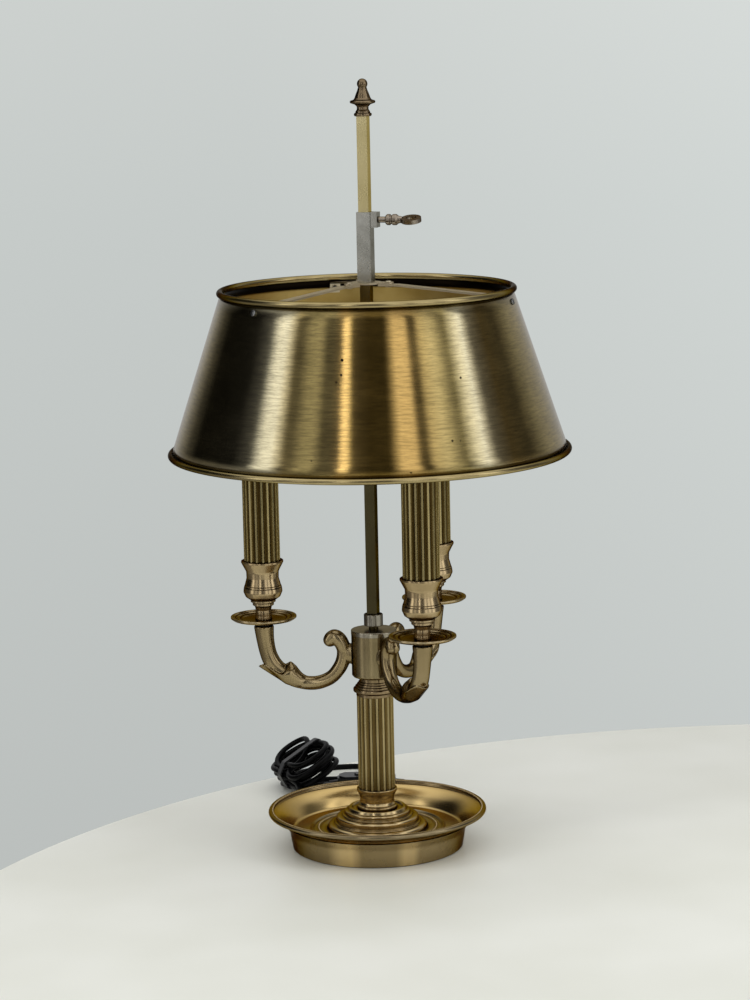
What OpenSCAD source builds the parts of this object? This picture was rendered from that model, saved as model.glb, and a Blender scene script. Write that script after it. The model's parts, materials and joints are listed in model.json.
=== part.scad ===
// Bouillotte lamp: a tray base, a fluted column, a drum with three scroll arms, three candle
// lights, and a drum shade whose square sleeve slides on a rod and is held by a key screw.
// Millimetres, +Z up, origin in the middle of the base where it stands on the table.

/* [Base] */
// Radius of the tray's rim, to the middle of its rolled edge
rim_r = 92.8; // [86:0.1:110]
// Height of the tray's rim, to the middle of its rolled edge
rim_z = 32; // [28:0.5:40]
// Thickness of the tray's rolled edge
rim_roll_d = 4.2; // [3:0.1:5.5]
// How far the edge of the tray's floor lies inside the skirt's foot
floor_inset = 1.7; // [1.5:0.1:6]
// Height of the tray's floor
floor_z = 14; // [13:0.5:16]
// Thickness of the sheet brass in the tray and its skirt
sheet = 1.2; // [0.8:0.1:1.6]
// Radius of the skirt at its foot
skirt_foot_r = 74.2; // [72:0.1:75]
// How far the skirt widens from its foot to its top
skirt_flare = 2.6; // [1:0.1:3]
// Thickness of the felt under the base
felt_t = 2; // [1:0.5:3]
// Inner radius of the cast ring that weights the base
weight_bore_r = 32; // [24:1:45]
// Radius of the beaded ring on the tray's floor
bead_ring_r = 57.5; // [50:0.5:62]
// Radius of the plinth's foot
plinth_r = 43.2; // [40:0.1:46]
// Height of the plinth above the tray's floor
plinth_h = 21.2; // [19:0.1:26]

/* [Column] */
// Height of the socket that holds the column's foot
socket_h = 18; // [16:0.5:24]
// Radius of the fluted column, over its ridges
column_r = 15.9; // [14:0.1:17]
// Length of the fluted column
column_h = 84.8; // [60:0.2:120]
// Number of flutes round the column and each candle
flutes = 18; // [14:1:20]
// Radius of each flute
flute_r = 2; // [1.4:0.05:2.2]
// Depth of each flute
flute_deep = 1.35; // [1:0.05:1.5]
// Height of the capital over the column
capital_h = 16.8; // [15:0.2:22]

/* [Arm cluster] */
// Radius of the drum that carries the arms
drum_r = 19.5; // [18:0.1:21]
// Height of the drum without its lid
drum_h = 37; // [34:0.5:44]
// Thickness of the drum's wall
drum_wall = 2.2; // [1.6:0.1:3]
// Depth of the lid's rim
lid_h = 4.8; // [4:0.1:7]
// Distance from the lamp's axis to each candle's axis
candle_reach = 95.2; // [92:0.1:102]
// Thickness of an arm's scroll, as a share of the drawn one
arm_girth = 1; // [0.9:0.02:1.1]

/* [Candles] */
// Radius of the drip pan
pan_r = 28.5; // [24:0.1:31]
// Radius of the cup's lip
cup_lip_r = 18.25; // [17.8:0.05:20]
// Radius of the fluted candle sleeve, over its ridges
candle_r = 15.65; // [14.8:0.05:16]
// Length of the candle sleeve
candle_h = 118; // [100:1:130]
// Wall radius of the lampholder's thread, an E14 screw
socket_r = 6.95; // [6.5:0.05:8]
// Depth of the lampholder's threaded well
socket_depth = 20; // [16:0.5:24]

/* [Rod] */
// Side of the square rod
rod_side = 9; // [8:0.1:10]
// Length of the square rod
rod_h = 426; // [400:1:480]
// Radius of the round collar at the rod's foot
collar_r = 8.2; // [7.8:0.1:11]
// Height of the collar
collar_h = 10.2; // [8:0.2:14]
// Gap between the lid and the collar, where the stud shows
stud_gap = 3; // [1:0.5:5]
// Turn of the rod, its slider and the key about the lamp's axis
rod_turn = -12.3; // [-20:0.1:0]

/* [Shade] */
// Height of the shade's lower rolled edge, to its middle
shade_z = 348.7; // [330:0.1:355]
// Radius of the lower rolled edge, to its middle
shade_foot_r = 170; // [160:0.5:185]
// Radius of the upper rolled edge, to its middle
shade_top_r = 124.6; // [122:0.1:140]
// Height from one rolled edge to the other
shade_h = 137; // [110:1:150]
// Thickness of the shade's sheet
shade_sheet = 0.7; // [0.5:0.05:1]
// Thickness of the upper rolled edge
top_roll_d = 5.6; // [4.6:0.1:6.4]
// Thickness of the lower rolled edge
foot_roll_d = 5; // [4.6:0.1:6.4]
// Thickness of the wire inside each rolled edge
rim_wire_d = 3; // [2:0.1:3.2]
// Width of each spider strap
strap_w = 9; // [7:0.5:11]
// Thickness of the spider's plate and straps
strap_t = 1.6; // [1.2:0.1:2]

/* [Slider] */
// Outer side of the square sleeve
sleeve_side = 12; // [11.4:0.1:13]
// Length of the square sleeve
sleeve_h = 60.8; // [50:0.2:75]
// How far the screw boss stands out from the sleeve
boss_d = 5.8; // [4:0.1:8]
// Height of the screw boss
boss_h = 12.9; // [11:0.1:16]
// Radius of the clamping stud
stud_r = 2.6; // [2:0.05:3]
// Clear length of stud between the boss and the key
stud_show = 6.9; // [4:0.1:9]
// Length of the key's turned barrel
barrel_l = 13.2; // [11:0.1:16]
// Radius of the key's flat bow
bow_r = 8.6; // [7:0.1:10]

/* [Cord] */
// Thickness of the mains cord
cord_d = 5; // [4.5:0.1:5.4]
// Length of the folded hank, over its outside
hank_l = 88; // [80:1:96]
// Width of the folded hank
hank_w = 48; // [44:1:52]
// Thickness of the folded hank
hank_t = 22; // [18:1:26]
// Length of the in-line switch
switch_l = 54; // [50:1:60]
// Width of the in-line switch
switch_w = 22; // [20:0.5:25]
// Height of the in-line switch
switch_h = 17; // [16:0.5:20]

/* [Fits] */
// Clearance between pieces that seat on each other
seat = 0.05; // [0.02:0.01:0.1]
// Clearance of the sleeve on the rod, each side
slide_gap = 0.1; // [0.05:0.01:0.2]

/* [Hidden] */

// Colours
BRASS = "#8f6f35";
BRONZE = "#7a5a34";
PALE_BRASS = "#a08a4c";
STEEL = "#8c8c88";
IRON = "#3b3a38";
RUBBER = "#141414";
FELT = "#23201c";
CERAMIC = "#d8d2c2";

// Heights up the lamp, each from the one below
plinth_top = floor_z + plinth_h;
socket_seat = plinth_top - 1.4;
socket_top = socket_seat + socket_h;
column_z = socket_top - 2.4;
capital_z = column_z + column_h;
drum_z = capital_z + capital_h;
drum_floor = 3;
drum_top = drum_z + drum_h;
lid_top = drum_top + lid_h;
collar_z = lid_top + stud_gap;
rod_z = collar_z + collar_h;
rod_top = rod_z + rod_h;

// Threaded pipe up the middle, M10 with a plain bore
pipe_r = 5;
pipe_bore_r = 3.8;
hole_r = pipe_r + seat;
nut_r = 9.8;
nut_h = 3;
washer_r = 15;
washer_t = 1.5;
floor_r = skirt_foot_r - floor_inset;
tray_under = floor_z - sheet;
skirt_bend_z = floor_z + 2;
rod_stud_r = 4;
rod_stud_hole_r = rod_stud_r + seat;

// Arms: the stem is drawn in a plane through the lamp's axis, measured from the drum's foot
arm_turns = [180, 300, 60];
arm_top = drum_z + 45;
lead_hole_r = 2.6;
lead_r = 1.7;
root_z = drum_z + 19.7;
lead_z = drum_z + 16.5;

// Candle stack, each height from the one below
collar_ring_h = 3.6;
pan_z = arm_top + collar_ring_h;
cup_z = pan_z + 1.8;
cup_top = cup_z + 52;
candle_z = cup_top - 3.6;
candle_top = candle_z + candle_h;
candle_bore_r = candle_r - 2.25;
holder_r = candle_bore_r - 0.5;
holder_top = candle_top - 2;
holder_h = 54;
holder_z = holder_top - holder_h;
well_floor = holder_top - socket_depth - 4;
nipple_depth = 8;
pipe_foot = arm_top - 10;

// Shade and spider
shade_top_z = shade_z + shade_h;
shade_slope = (shade_foot_r - shade_top_r) / shade_h;
shade_angle = atan(shade_slope);
sheet_inset = 1;
plate_z = shade_top_z + 5.3;
sleeve_z = plate_z;
sleeve_top = sleeve_z + sleeve_h;
spider_turns = [rod_turn, rod_turn + 120, rod_turn + 240];
plate_r = 12.5;
lobe_l = 19.5;
rivet_r = 1.5;
screw_r = 1.5;
screw_z = shade_top_z - 8.8;
tab_face = shade_r(screw_z) - shade_sheet / 2 - 0.2;

// Key screw
key_z = sleeve_top - boss_h / 2;
boss_face = sleeve_side / 2 + boss_d;
barrel_x = boss_face + stud_show;
bow_x = barrel_x + barrel_l;
key_roll = 14;

// Cord exit, switch, plug and hank
exit_z = 7.5;
bushing_hole_r = 4;
skirt_exit_r = skirt_foot_r + skirt_flare * exit_z / skirt_bend_z;
bushing_tip = skirt_exit_r + 22.6;
cord_r = cord_d / 2;
switch_at = [-24, 175];
switch_turn = 5;
switch_relief_l = 8;
cord_in_switch = 8;
plug_at = [-48, 139.5];
plug_turn = 170;
plug_l = 34;
plug_w = 35.3;
plug_h = 13.7;
pin_gap = 18.6;
hank_at = [-82, 179.5, 25.1];
hank_turn = -67.3;
hank_tilt = 8;
hank_lean = -59.4;

// Routes of the cord, chosen by hand: out of the base, on from the switch, and the plug's tail
route_a = [
    [0, 71.5, 7.5], [0, 80, 7.5], [0, 89, 7.5], [0, 98, 7.5], [0, 108, 6.2], [3.4, 118.5, 4.4],
    [10.2, 127, 2.9], [18.5, 132, 2.5], [27, 133.6, 2.5], [35.6, 135.3, 2.5], [42.8, 140.2, 2.5],
    [47.7, 147.4, 2.5], [49.4, 156, 2.6], [47.7, 164.6, 3], [42.8, 171.8, 3.8], [35.6, 176.7, 5],
    [27, 178.6, 6.4]
];
route_b = [
    [-70.6, 172.4, 6.8], [-77.5, 176.2, 5], [-82.3, 182.3, 3.6], [-84.5, 189.8, 2.8],
    [-83.7, 197.5, 2.5], [-79.9, 204.4, 2.5], [-73.8, 209.2, 2.5], [-66.3, 211.4, 2.5],
    [-54, 212.6, 2.5], [-42, 213.6, 2.5], [-30, 215.6, 2.5], [-19.3, 218.5, 2.5],
    [-11.5, 226.3, 2.5], [-8.6, 237, 2.5], [-11.5, 247.7, 2.5], [-19.3, 255.5, 2.5],
    [-30, 258.6, 2.5], [-43, 259.4, 2.5],
    [-57, 257, 2.5], [-72, 251, 2.5], [-86, 243, 2.5], [-96.5, 232, 2.5], [-103, 219, 2.5],
    [-104.6, 206, 2.5], [-103.4, 197, 3], [-101.7, 190, 4.2]
];
route_tail = [
    [-87.2, 149.4, 14.2], [-83.5, 140.3, 15.2], [-81.8, 131, 13], [-78.6, 120.5, 9],
    [-72, 109.6, 5.6], [-60.5, 101, 3.2], [-46.5, 96.4, 2.6], [-32, 95.4, 2.6],
    [-21, 98, 2.6], [-13.3, 105.5, 2.9], [-10.5, 115.7, 3.7], [-13.2, 125.9, 5],
    [-20, 132.9, 6.3]
];

// ---- helpers ----

function unit(v) = v / norm(v);

// Points of the arc that rounds the corner b between a and c
function corner(a, b, c, r, n) =
    let (
        u = unit(a - b),
        v = unit(c - b),
        half = acos(u * v) / 2,
        reach = r / tan(half),
        middle = b + unit(u + v) * r / sin(half),
        p = b + u * reach - middle,
        q = b + v * reach - middle,
        first = atan2(p[1], p[0]),
        turn = (atan2(q[1], q[0]) - first + 540) % 360 - 180
    )
    [for (i = [0 : n]) middle + r * [cos(first + turn * i / n), sin(first + turn * i / n)]];

// A profile of [radius, height, rounding] corners as plain points
function rounded(p) = [
    for (i = [0 : len(p) - 1])
        let (
            here = [p[i][0], p[i][1]],
            last = p[(i + len(p) - 1) % len(p)],
            next = p[(i + 1) % len(p)]
        )
        each (len(p[i]) < 3 || p[i][2] == 0
            ? [here]
            : corner([last[0], last[1]], here, [next[0], next[1]], p[i][2], 4))
];

module turned(profile) {
    rotate_extrude($fn = 96)
        polygon(rounded(profile));
}

module ring_at(r, z, thick) {
    translate([0, 0, z])
        rotate_extrude($fn = 96)
            translate([r, 0])
                circle(d = thick, $fn = 32);
}

module tube(outer, inner, z, h) {
    translate([0, 0, z])
        difference() {
            cylinder(r = outer, h = h, $fn = 64);
            translate([0, 0, -1])
                cylinder(r = inner, h = h + 2, $fn = 64);
        }
}

// A tube with flutes all round
module fluted_tube(outer, bore, h) {
    difference() {
        cylinder(r = outer, h = h, $fn = 96);
        translate([0, 0, -1])
            cylinder(r = bore, h = h + 2, $fn = 64);
        for (i = [0 : flutes - 1])
            rotate(360 / flutes * (i + 0.5))
                translate([outer + flute_r - flute_deep, 0, -1])
                    cylinder(r = flute_r, h = h + 2, $fn = 24);
    }
}

// Solid through rings of points, each ring counted the same way round
module loft(rings) {
    sides = len(rings[0]);
    last = (len(rings) - 1) * sides;
    polyhedron(
        points = [for (ring = rings) each ring],
        faces = concat(
            [[for (k = [0 : sides - 1]) k]],
            [for (i = [0 : len(rings) - 2], k = [0 : sides - 1])
                each [
                    [i * sides + k, (i + 1) * sides + k, (i + 1) * sides + (k + 1) % sides],
                    [i * sides + k, (i + 1) * sides + (k + 1) % sides, i * sides + (k + 1) % sides]
                ]],
            [[for (k = [sides - 1 : -1 : 0]) last + k]]
        ),
        convexity = 8
    );
}

// One point of a curve that passes through b and c, between neighbours a and d
function curve_point(a, b, c, d, t) =
    0.5 * (2 * b + (c - a) * t + (2 * a - 5 * b + 4 * c - d) * t * t
        + (3 * b - a - 3 * c + d) * t * t * t);

// A smooth run of points through chosen ones, with steps points for each stretch
function smooth(p, steps) = concat(
    [for (i = [0 : len(p) - 2], s = [0 : steps - 1])
        curve_point(p[max(i - 1, 0)], p[i], p[i + 1], p[min(i + 2, len(p) - 1)], s / steps)],
    [p[len(p) - 1]]
);

function heading(p, i) = unit(p[min(i + 1, len(p) - 1)] - p[max(i - 1, 0)]);

// A sideways direction for each point of a path, carried along without twist
function sideways(p, first, i = 0, made = []) =
    i == len(p)
        ? made
        : let (
            t = heading(p, i),
            before = i == 0 ? first : made[i - 1]
        )
        sideways(p, first, i + 1, concat(made, [unit(before - (before * t) * t)]));

// A round tube swept along a path of points in space
module swept(path, r, sides, first = [0, 0, 1]) {
    across = sideways(path, first);
    loft([
        for (i = [0 : len(path) - 1])
            let (other = cross(heading(path, i), across[i]))
            [for (k = [0 : sides - 1])
                path[i] + r * (cos(360 * k / sides) * across[i] + sin(360 * k / sides) * other)]
    ]);
}

// ---- base ----

// The tray's wall rises steeply from the floor and flares like a trumpet to the rim: its inner
// face as [share of the way from floor to rim outwards, share of the way upwards]
wall_shares = [[0, 0], [0.1, 0.17], [0.2, 0.36], [0.35, 0.58], [0.55, 0.77], [0.78, 0.91], [1.01, 1]];
wall_inner = smooth([for (p = wall_shares)
    [floor_r + p[0] * (rim_r - floor_r), floor_z + p[1] * (rim_z - floor_z)]], 3);
wall_outer = [for (i = [0 : len(wall_inner) - 1])
    let (t = heading(wall_inner, i)) wall_inner[i] + sheet * [t[1], -t[0]]];
// The wall's point where the skirt is soldered on
skirt_joint = wall_outer[8];

module felt_pad() {
    color(FELT)
        cylinder(r = skirt_foot_r - sheet - 0.2, h = felt_t, $fn = 96);
}

module base_weight() {
    low = felt_t + seat;
    color(IRON)
        difference() {
            turned([
                [weight_bore_r, low, 0], [skirt_foot_r - sheet - 1.5, low, 1],
                [skirt_foot_r - sheet - 1.5, tray_under - seat, 1],
                [weight_bore_r, tray_under - seat, 0]
            ]);
            translate([-4, 0, low - 1])
                cube([8, skirt_foot_r, 8.6]);
        }
}

module base_skirt() {
    mid_r = skirt_foot_r + skirt_flare;
    color(BRASS)
        difference() {
            turned([
                [skirt_foot_r - sheet, 0.6, 0.3], [skirt_foot_r, 0.6, 0.5],
                [mid_r, skirt_bend_z, 9], [skirt_joint[0] + sheet, skirt_joint[1], 0],
                [skirt_joint[0] + seat, skirt_joint[1] - seat, 0], [mid_r - sheet, skirt_bend_z, 9]
            ]);
            translate([0, skirt_foot_r, exit_z])
                rotate([90, 0, 0])
                    cylinder(r = bushing_hole_r, h = 12, center = true, $fn = 32);
        }
}

module base_tray() {
    color(BRASS)
        union() {
            rotate_extrude($fn = 96)
                polygon(concat(
                    [[hole_r, floor_z], [hole_r, tray_under], [floor_r + 0.2, tray_under]],
                    [for (i = [1 : len(wall_outer) - 1]) wall_outer[i]],
                    [for (i = [len(wall_inner) - 1 : -1 : 0]) wall_inner[i]]
                ));
            ring_at(rim_r, rim_z, rim_roll_d);
            turned([
                [bead_ring_r - 1.6, floor_z - 0.4, 0], [bead_ring_r + 1.6, floor_z - 0.4, 0],
                [bead_ring_r + 1.6, floor_z + 1.1, 1], [bead_ring_r - 1.6, floor_z + 1.1, 1]
            ]);
        }
}

// The stepped boss in the middle of the tray
module base_plinth() {
    r = plinth_r;
    z = floor_z;
    top = plinth_top;
    color(BRONZE)
        turned([
            [hole_r, z, 0], [r, z, 1], [r, z + 6.8, 3], [r - 5.8, z + 7, 0.6],
            [r - 5.8, z + 8.2, 0.3], [r - 7.4, z + 8.6, 0.3], [r - 7.4, z + 13.6, 2.2],
            [r - 12.6, z + 13.8, 0.5], [r - 12.6, z + 14.9, 0.3], [r - 14.8, z + 15.3, 0.3],
            [r - 14.8, z + 18.2, 1.3], [r - 17.6, z + 18.6, 0.4], [r - 18.6, top, 0.8],
            [r - 21, top, 0.8], [r - 21.8, socket_seat, 0.3], [hole_r, socket_seat, 0]
        ]);
}

// ---- column ----

module column_socket() {
    z = socket_seat;
    bore = column_r + 0.1;
    color(BRONZE)
        turned([
            [hole_r, z, 0], [column_r + 1.3, z, 0.7], [column_r + 1.3, z + 2.4, 0.8],
            [column_r, z + 3, 0.2], [column_r, z + 4, 0.2], [column_r - 1.1, z + 5.6, 2],
            [column_r - 1.1, z + 10.6, 4], [column_r + 1.5, socket_top - 2.6, 1.2],
            [column_r + 1.7, socket_top, 0.6], [bore, socket_top, 0.2],
            [bore, column_z, 0], [hole_r, column_z, 0]
        ]);
}

column_bore_r = column_r - 3.4;

module column() {
    color(PALE_BRASS)
        translate([0, 0, column_z + seat])
            fluted_tube(column_r, column_bore_r, column_h - 2 * seat);
}

module capital() {
    z = capital_z;
    r = column_r;
    color(BRONZE)
        turned([
            [hole_r, z - 4, 0], [column_bore_r - 0.1, z - 4, 0.4], [column_bore_r - 0.1, z, 0],
            [r + 0.3, z, 0.4], [r + 0.3, z + 2.6, 0.5], [r + 2.8, z + 4, 0.8],
            [r + 2.8, z + 6.8, 1.1], [r + 1.1, z + 7.2, 0.2], [r + 1.1, z + 8.8, 0.6],
            [r - 0.4, z + 9.1, 0.2], [r - 0.4, z + 10.7, 0.6], [r - 1.7, z + 11, 0.2],
            [r - 1.7, z + 12.4, 0.5], [r - 2.7, z + 12.8, 0.3], [r - 2.7, drum_z, 0],
            [hole_r, drum_z, 0]
        ]);
}

// ---- drum, lid and the stem inside ----

module hub_drum() {
    inner = drum_r - drum_wall;
    color(PALE_BRASS)
        difference() {
            turned([
                [hole_r, drum_z, 0], [drum_r - 1.3, drum_z, 0.7], [drum_r, drum_z + 1.6, 0.8],
                [drum_r, drum_top, 0], [inner, drum_top, 0], [inner, drum_z + drum_floor, 0],
                [hole_r, drum_z + drum_floor, 0]
            ]);
            for (turn = arm_turns)
                rotate(turn)
                    translate([inner - 2, 0, lead_z])
                        rotate([0, 90, 0])
                            cylinder(r = lead_hole_r, h = 8, $fn = 32);
        }
}

module hub_lid() {
    spigot = drum_r - drum_wall - 0.1;
    color(STEEL)
        turned([
            [spigot, drum_top - 3.5, 0.3], [spigot, drum_top + seat, 0],
            [drum_r + 0.2, drum_top + seat, 0.3], [drum_r + 0.2, lid_top - 0.5, 0.9],
            [rod_stud_hole_r, lid_top, 0], [rod_stud_hole_r, lid_top - 2, 0],
            [spigot - 1.5, lid_top - 2, 0.5], [spigot - 1.5, drum_top - 3.5, 0]
        ]);
}

pipe_z = tray_under - washer_t - nut_h - 0.5;
pipe_top = drum_top - 10;
coupler_z = pipe_top - 6;
coupler_h = 14;

module stem_pipe() {
    color(STEEL)
        difference() {
            tube(pipe_r, pipe_bore_r, pipe_z, pipe_top - pipe_z);
            translate([0, -3, drum_z + 7.5])
                cube([pipe_r + 1, 6, 11]);
        }
}

module stem_washer() {
    color(STEEL)
        tube(washer_r, hole_r, tray_under - washer_t, washer_t - seat);
}

module stem_nut(z) {
    translate([0, 0, z])
        difference() {
            cylinder(r = nut_r, h = nut_h, $fn = 6);
            translate([0, 0, -1])
                cylinder(r = hole_r, h = nut_h + 2, $fn = 48);
        }
}

module stem_nuts() {
    color(BRASS) {
        stem_nut(tray_under - washer_t - nut_h - seat);
        stem_nut(drum_z + drum_floor + seat);
    }
}

// Sleeve nut that joins the pipe to the rod's stud
module stem_coupler() {
    color(STEEL)
        turned([
            [hole_r, coupler_z, 0], [7.2, coupler_z, 0.6], [7.2, coupler_z + coupler_h, 0.6],
            [rod_stud_hole_r, coupler_z + coupler_h, 0], [rod_stud_hole_r, pipe_top + seat, 0],
            [hole_r, pipe_top + seat, 0]
        ]);
}

// Round terminal block where the cord meets the three arm leads
junction_z = drum_z + drum_floor + nut_h + 2 * seat;
junction_r = 12.6;
junction_top = coupler_z - 0.2;

module wire_junction() {
    color(CERAMIC)
        tube(junction_r, pipe_r + 0.3, junction_z, junction_top - junction_z);
}

module rod_collar() {
    z = collar_z;
    color(STEEL)
        turned([
            [rod_stud_hole_r, z, 0], [collar_r, z, 0.5], [collar_r, z + collar_h - seat, 0.9],
            [rod_stud_hole_r, z + collar_h - seat, 0]
        ]);
}

finial_stud_r = 2.4;
finial_stud_h = 12;

module square_rod() {
    color(PALE_BRASS)
        union() {
            rotate(rod_turn)
                translate([-rod_side / 2, -rod_side / 2, rod_z])
                    cube([rod_side, rod_side, rod_h]);
            translate([0, 0, pipe_top + 1])
                cylinder(r = rod_stud_r, h = rod_z - pipe_top, $fn = 48);
            translate([0, 0, rod_top - 1])
                cylinder(r = finial_stud_r, h = finial_stud_h + 1, $fn = 32);
        }
}

module finial() {
    z = rod_top + seat;
    bore = finial_stud_r + seat;
    color(BRONZE)
        union() {
            turned([
                [bore, z, 0], [6.9, z, 0.3], [7.5, z + 0.9, 0.3], [7.5, z + 2.3, 0.4],
                [6.3, z + 2.9, 0.2], [6.2, z + 3.8, 0.2], [4.95, z + 5.8, 1], [4.95, z + 8, 1],
                [6.8, z + 9.8, 0.3], [10.3, z + 10.9, 0.4], [10.9, z + 12, 0.5],
                [10.3, z + 13.1, 0.4], [7.7, z + 13.9, 0.4], [6.75, z + 15.3, 0.8],
                [5.35, z + 19.2, 1.5], [4.3, z + 21.6, 0.5], [4, z + 22.8, 0.4], [3.4, z + 24.6, 0],
                [0, z + 25.6, 0], [0, z + finial_stud_h + 0.8, 0],
                [bore, z + finial_stud_h + 0.8, 0]
            ]);
            translate([0, 0, z + 26.9])
                sphere(r = 4.45, $fn = 64);
        }
}

// ---- scroll arms ----

// Stem of the arm: [distance from the lamp's axis, height above the drum's foot, radius],
// from the scroll's curl, down past the drum and up to the candle
arm_stem = [
    [34, 34.2, 6.6], [30.4, 32.4, 6.6], [27.6, 28, 6.4], [26.2, 22, 6.1],
    [27, 14.5, 6.2], [30.2, 7.4, 6.1], [36.4, -0.2, 5.9], [44, -4.4, 5.9], [52.4, -6.3, 6],
    [62, -5.6, 6.1], [70.6, -2.2, 6.6], [78.2, 2.4, 7.1], [85, 7.6, 7.5], [89.6, 13.8, 7.8],
    [92.6, 21, 7.5], [94.4, 33, 7.8], [95.2, 45, 8.75]
];
curl_at = [37.8, 32.2];
curl_r = 6.3;

// The leaf sheath where the upper branch leaves the stem: rings on the stem, then the lip's
// half outline from its inner tip round to its outer tip as [distance, sideways, height]
sheath_rings = [[62.5, -5.4, 5], [68.6, -3, 7.1], [74, -0.2, 8.2]];
sheath_lip = [
    [72.9, 0, 12.8], [74.2, 2.7, 10.8], [75.7, 5.3, 7.8], [77, 7.4, 4.6], [79.4, 8.5, 3],
    [84, 8.5, 5.4], [89.5, 7.3, 9.2], [95.2, 4.6, 11.4], [100.9, 0, 9.6]
];
sheath_throat = [84, 7.2, 5.2];
arm_sides = 16;

// How far the drawn arm is stretched outwards to meet the candle's axis
drawn_reach = 95.2;
arm_stretch = candle_reach - drawn_reach;
function stretched(x) = x + arm_stretch * max(0, min(1, (x - 40) / 50));

// A ring of points square to the stem's plane at a point of it
function stem_ring(at, along, r, shift = 0) = [
    for (k = [0 : arm_sides - 1])
        let (turn = 360 * (k + shift) / arm_sides)
        [
            at[0] - along[1] * r * cos(turn),
            -r * sin(turn),
            at[1] + along[0] * r * cos(turn)
        ]
];

function flat(p) = [p[0], p[1]];
function stem_heading(p, i) =
    unit(flat(p[min(i + 1, len(p) - 1)]) - flat(p[max(i - 1, 0)]));
function lip_point(k) =
    let (p = sheath_lip[k <= 8 ? k : 16 - k])
    [stretched(p[0]), k <= 8 ? -p[1] : p[1], p[2]];

module arm_body() {
    stem = smooth([for (p = arm_stem) [stretched(p[0]), p[1], p[2] * arm_girth]], 2);
    loft([for (i = [0 : len(stem) - 1])
        i == len(stem) - 1
            ? stem_ring(stem[i], [0, 1], stem[i][2], 0.5)
            : stem_ring(stem[i], stem_heading(stem, i), stem[i][2], 0.5)]);
    translate([curl_at[0], 0, curl_at[1]])
        sphere(r = curl_r * arm_girth, $fn = 40);
    translate([arm_stem[0][0], 0, arm_stem[0][1]])
        sphere(r = arm_stem[0][2] * arm_girth + 0.25, $fn = 40);
    loft(concat(
        [for (i = [0 : 2])
            stem_ring([stretched(sheath_rings[i][0]), sheath_rings[i][1]],
                stem_heading(sheath_rings, i), sheath_rings[i][2] * arm_girth)],
        [[for (k = [0 : arm_sides - 1]) lip_point(k)]],
        [stem_ring([stretched(sheath_throat[0]), sheath_throat[1]], unit([0.6, 0.8]),
            sheath_throat[2])]
    ));
    // the pad that is brazed to the drum
    translate([drum_r - 3, 0, root_z - drum_z])
        rotate([0, 90, 0])
            cylinder(r1 = 8.2, r2 = 6.4, h = 8.5, $fn = 40);
}

// Path of the wires, from the terminal block through the stem to the lampholder
function lead_path() = concat(
    [[junction_r + 0.1, 0, lead_z - drum_z], [17.5, 0, lead_z - drum_z],
        [21.5, 0, lead_z - drum_z - 0.9], [25.6, 0, 12.2]],
    [for (i = [5 : 15]) [stretched(arm_stem[i][0]), 0, arm_stem[i][1]]],
    [[candle_reach, 0, 41], [candle_reach, 0, 52],
        [candle_reach, 0, well_floor - drum_z - 0.1]]
);

module arm() {
    color(PALE_BRASS)
        translate([0, 0, drum_z])
            difference() {
                arm_body();
                translate([0, 0, -20])
                    cylinder(r = drum_r + seat, h = drum_h + 40, $fn = 96);
                translate([candle_reach, 0, pipe_foot - drum_z])
                    cylinder(r = hole_r, h = 20, $fn = 48);
                swept(lead_path(), lead_hole_r, 8);
            }
}

// ---- candle stack ----

module on_arm(i) {
    rotate(arm_turns[i])
        translate([candle_reach, 0, 0])
            children();
}

module arm_collars() {
    color(IRON)
        for (i = [0 : 2])
            on_arm(i)
                turned([
                    [hole_r, arm_top + seat, 0], [7.4, arm_top + seat, 0.5],
                    [7.9, pan_z - seat, 0], [hole_r, pan_z - seat, 0]
                ]);
}

// Drip pan with two raised steps inside its edge
module bobeche() {
    z = pan_z;
    r = pan_r;
    color(BRONZE)
        turned([
            [hole_r, z, 0], [r - 19, z, 0.5], [r - 2.3, z + 1.8, 1.2], [r, z + 3.4, 0.6],
            [r, z + 5, 0.6], [r - 2.1, z + 5, 0.5], [r - 2.9, z + 4, 0.3], [r - 5.1, z + 4, 0.4],
            [r - 5.9, z + 3.3, 0.3], [r - 8.3, z + 3.3, 0.4], [r - 10.1, z + 2.3, 0.8],
            [r - 20.5, cup_z, 0.3], [hole_r, cup_z, 0]
        ]);
}

module candle_cup() {
    z = cup_z + seat;
    bore = candle_r + 0.15;
    color(BRONZE)
        turned([
            [hole_r, z, 0], [7.3, z, 0.3], [6.9, z + 3.4, 0.8], [6.7, z + 8.4, 2],
            [7.3, z + 11.4, 0.8], [9.2, z + 12.8, 0.3], [9.2, z + 15, 0.4], [10.8, z + 15.6, 0.3],
            [10.8, z + 17.2, 0.3], [15, z + 20.2, 2], [16.9, z + 24.6, 2.5], [16.5, z + 28.2, 0.6],
            [15.9, z + 28.5, 0], [16.3, z + 28.9, 0], [15.9, z + 30, 0], [15.4, z + 30.3, 0],
            [15.6, z + 30.7, 0.2], [13.95, z + 36.6, 5], [14.1, z + 42.4, 5],
            [cup_lip_r - 0.5, z + 49.4, 0.8], [cup_lip_r, z + 50.4, 0.3],
            [cup_lip_r, cup_top, 0.6], [bore, cup_top, 0.2], [bore, candle_z, 0],
            [hole_r, candle_z, 0]
        ]);
}

module candle_sleeve() {
    color(PALE_BRASS)
        translate([0, 0, candle_z + seat])
            fluted_tube(candle_r, candle_bore_r, candle_h);
}

module lampholder() {
    z = holder_z;
    wire_top = well_floor;
    color(CERAMIC)
        turned([
            [hole_r, z, 0], [holder_r - 3.5, z, 0.6], [holder_r, z + 4, 1.2],
            [holder_r, holder_top, 0.6], [socket_r, holder_top, 0],
            [socket_r, holder_top - socket_depth, 0],
            [5.4, holder_top - socket_depth, 0], [5.4, wire_top, 0], [lead_hole_r, wire_top, 0],
            [lead_hole_r, z + nipple_depth, 0], [hole_r, z + nipple_depth, 0]
        ]);
}

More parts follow.
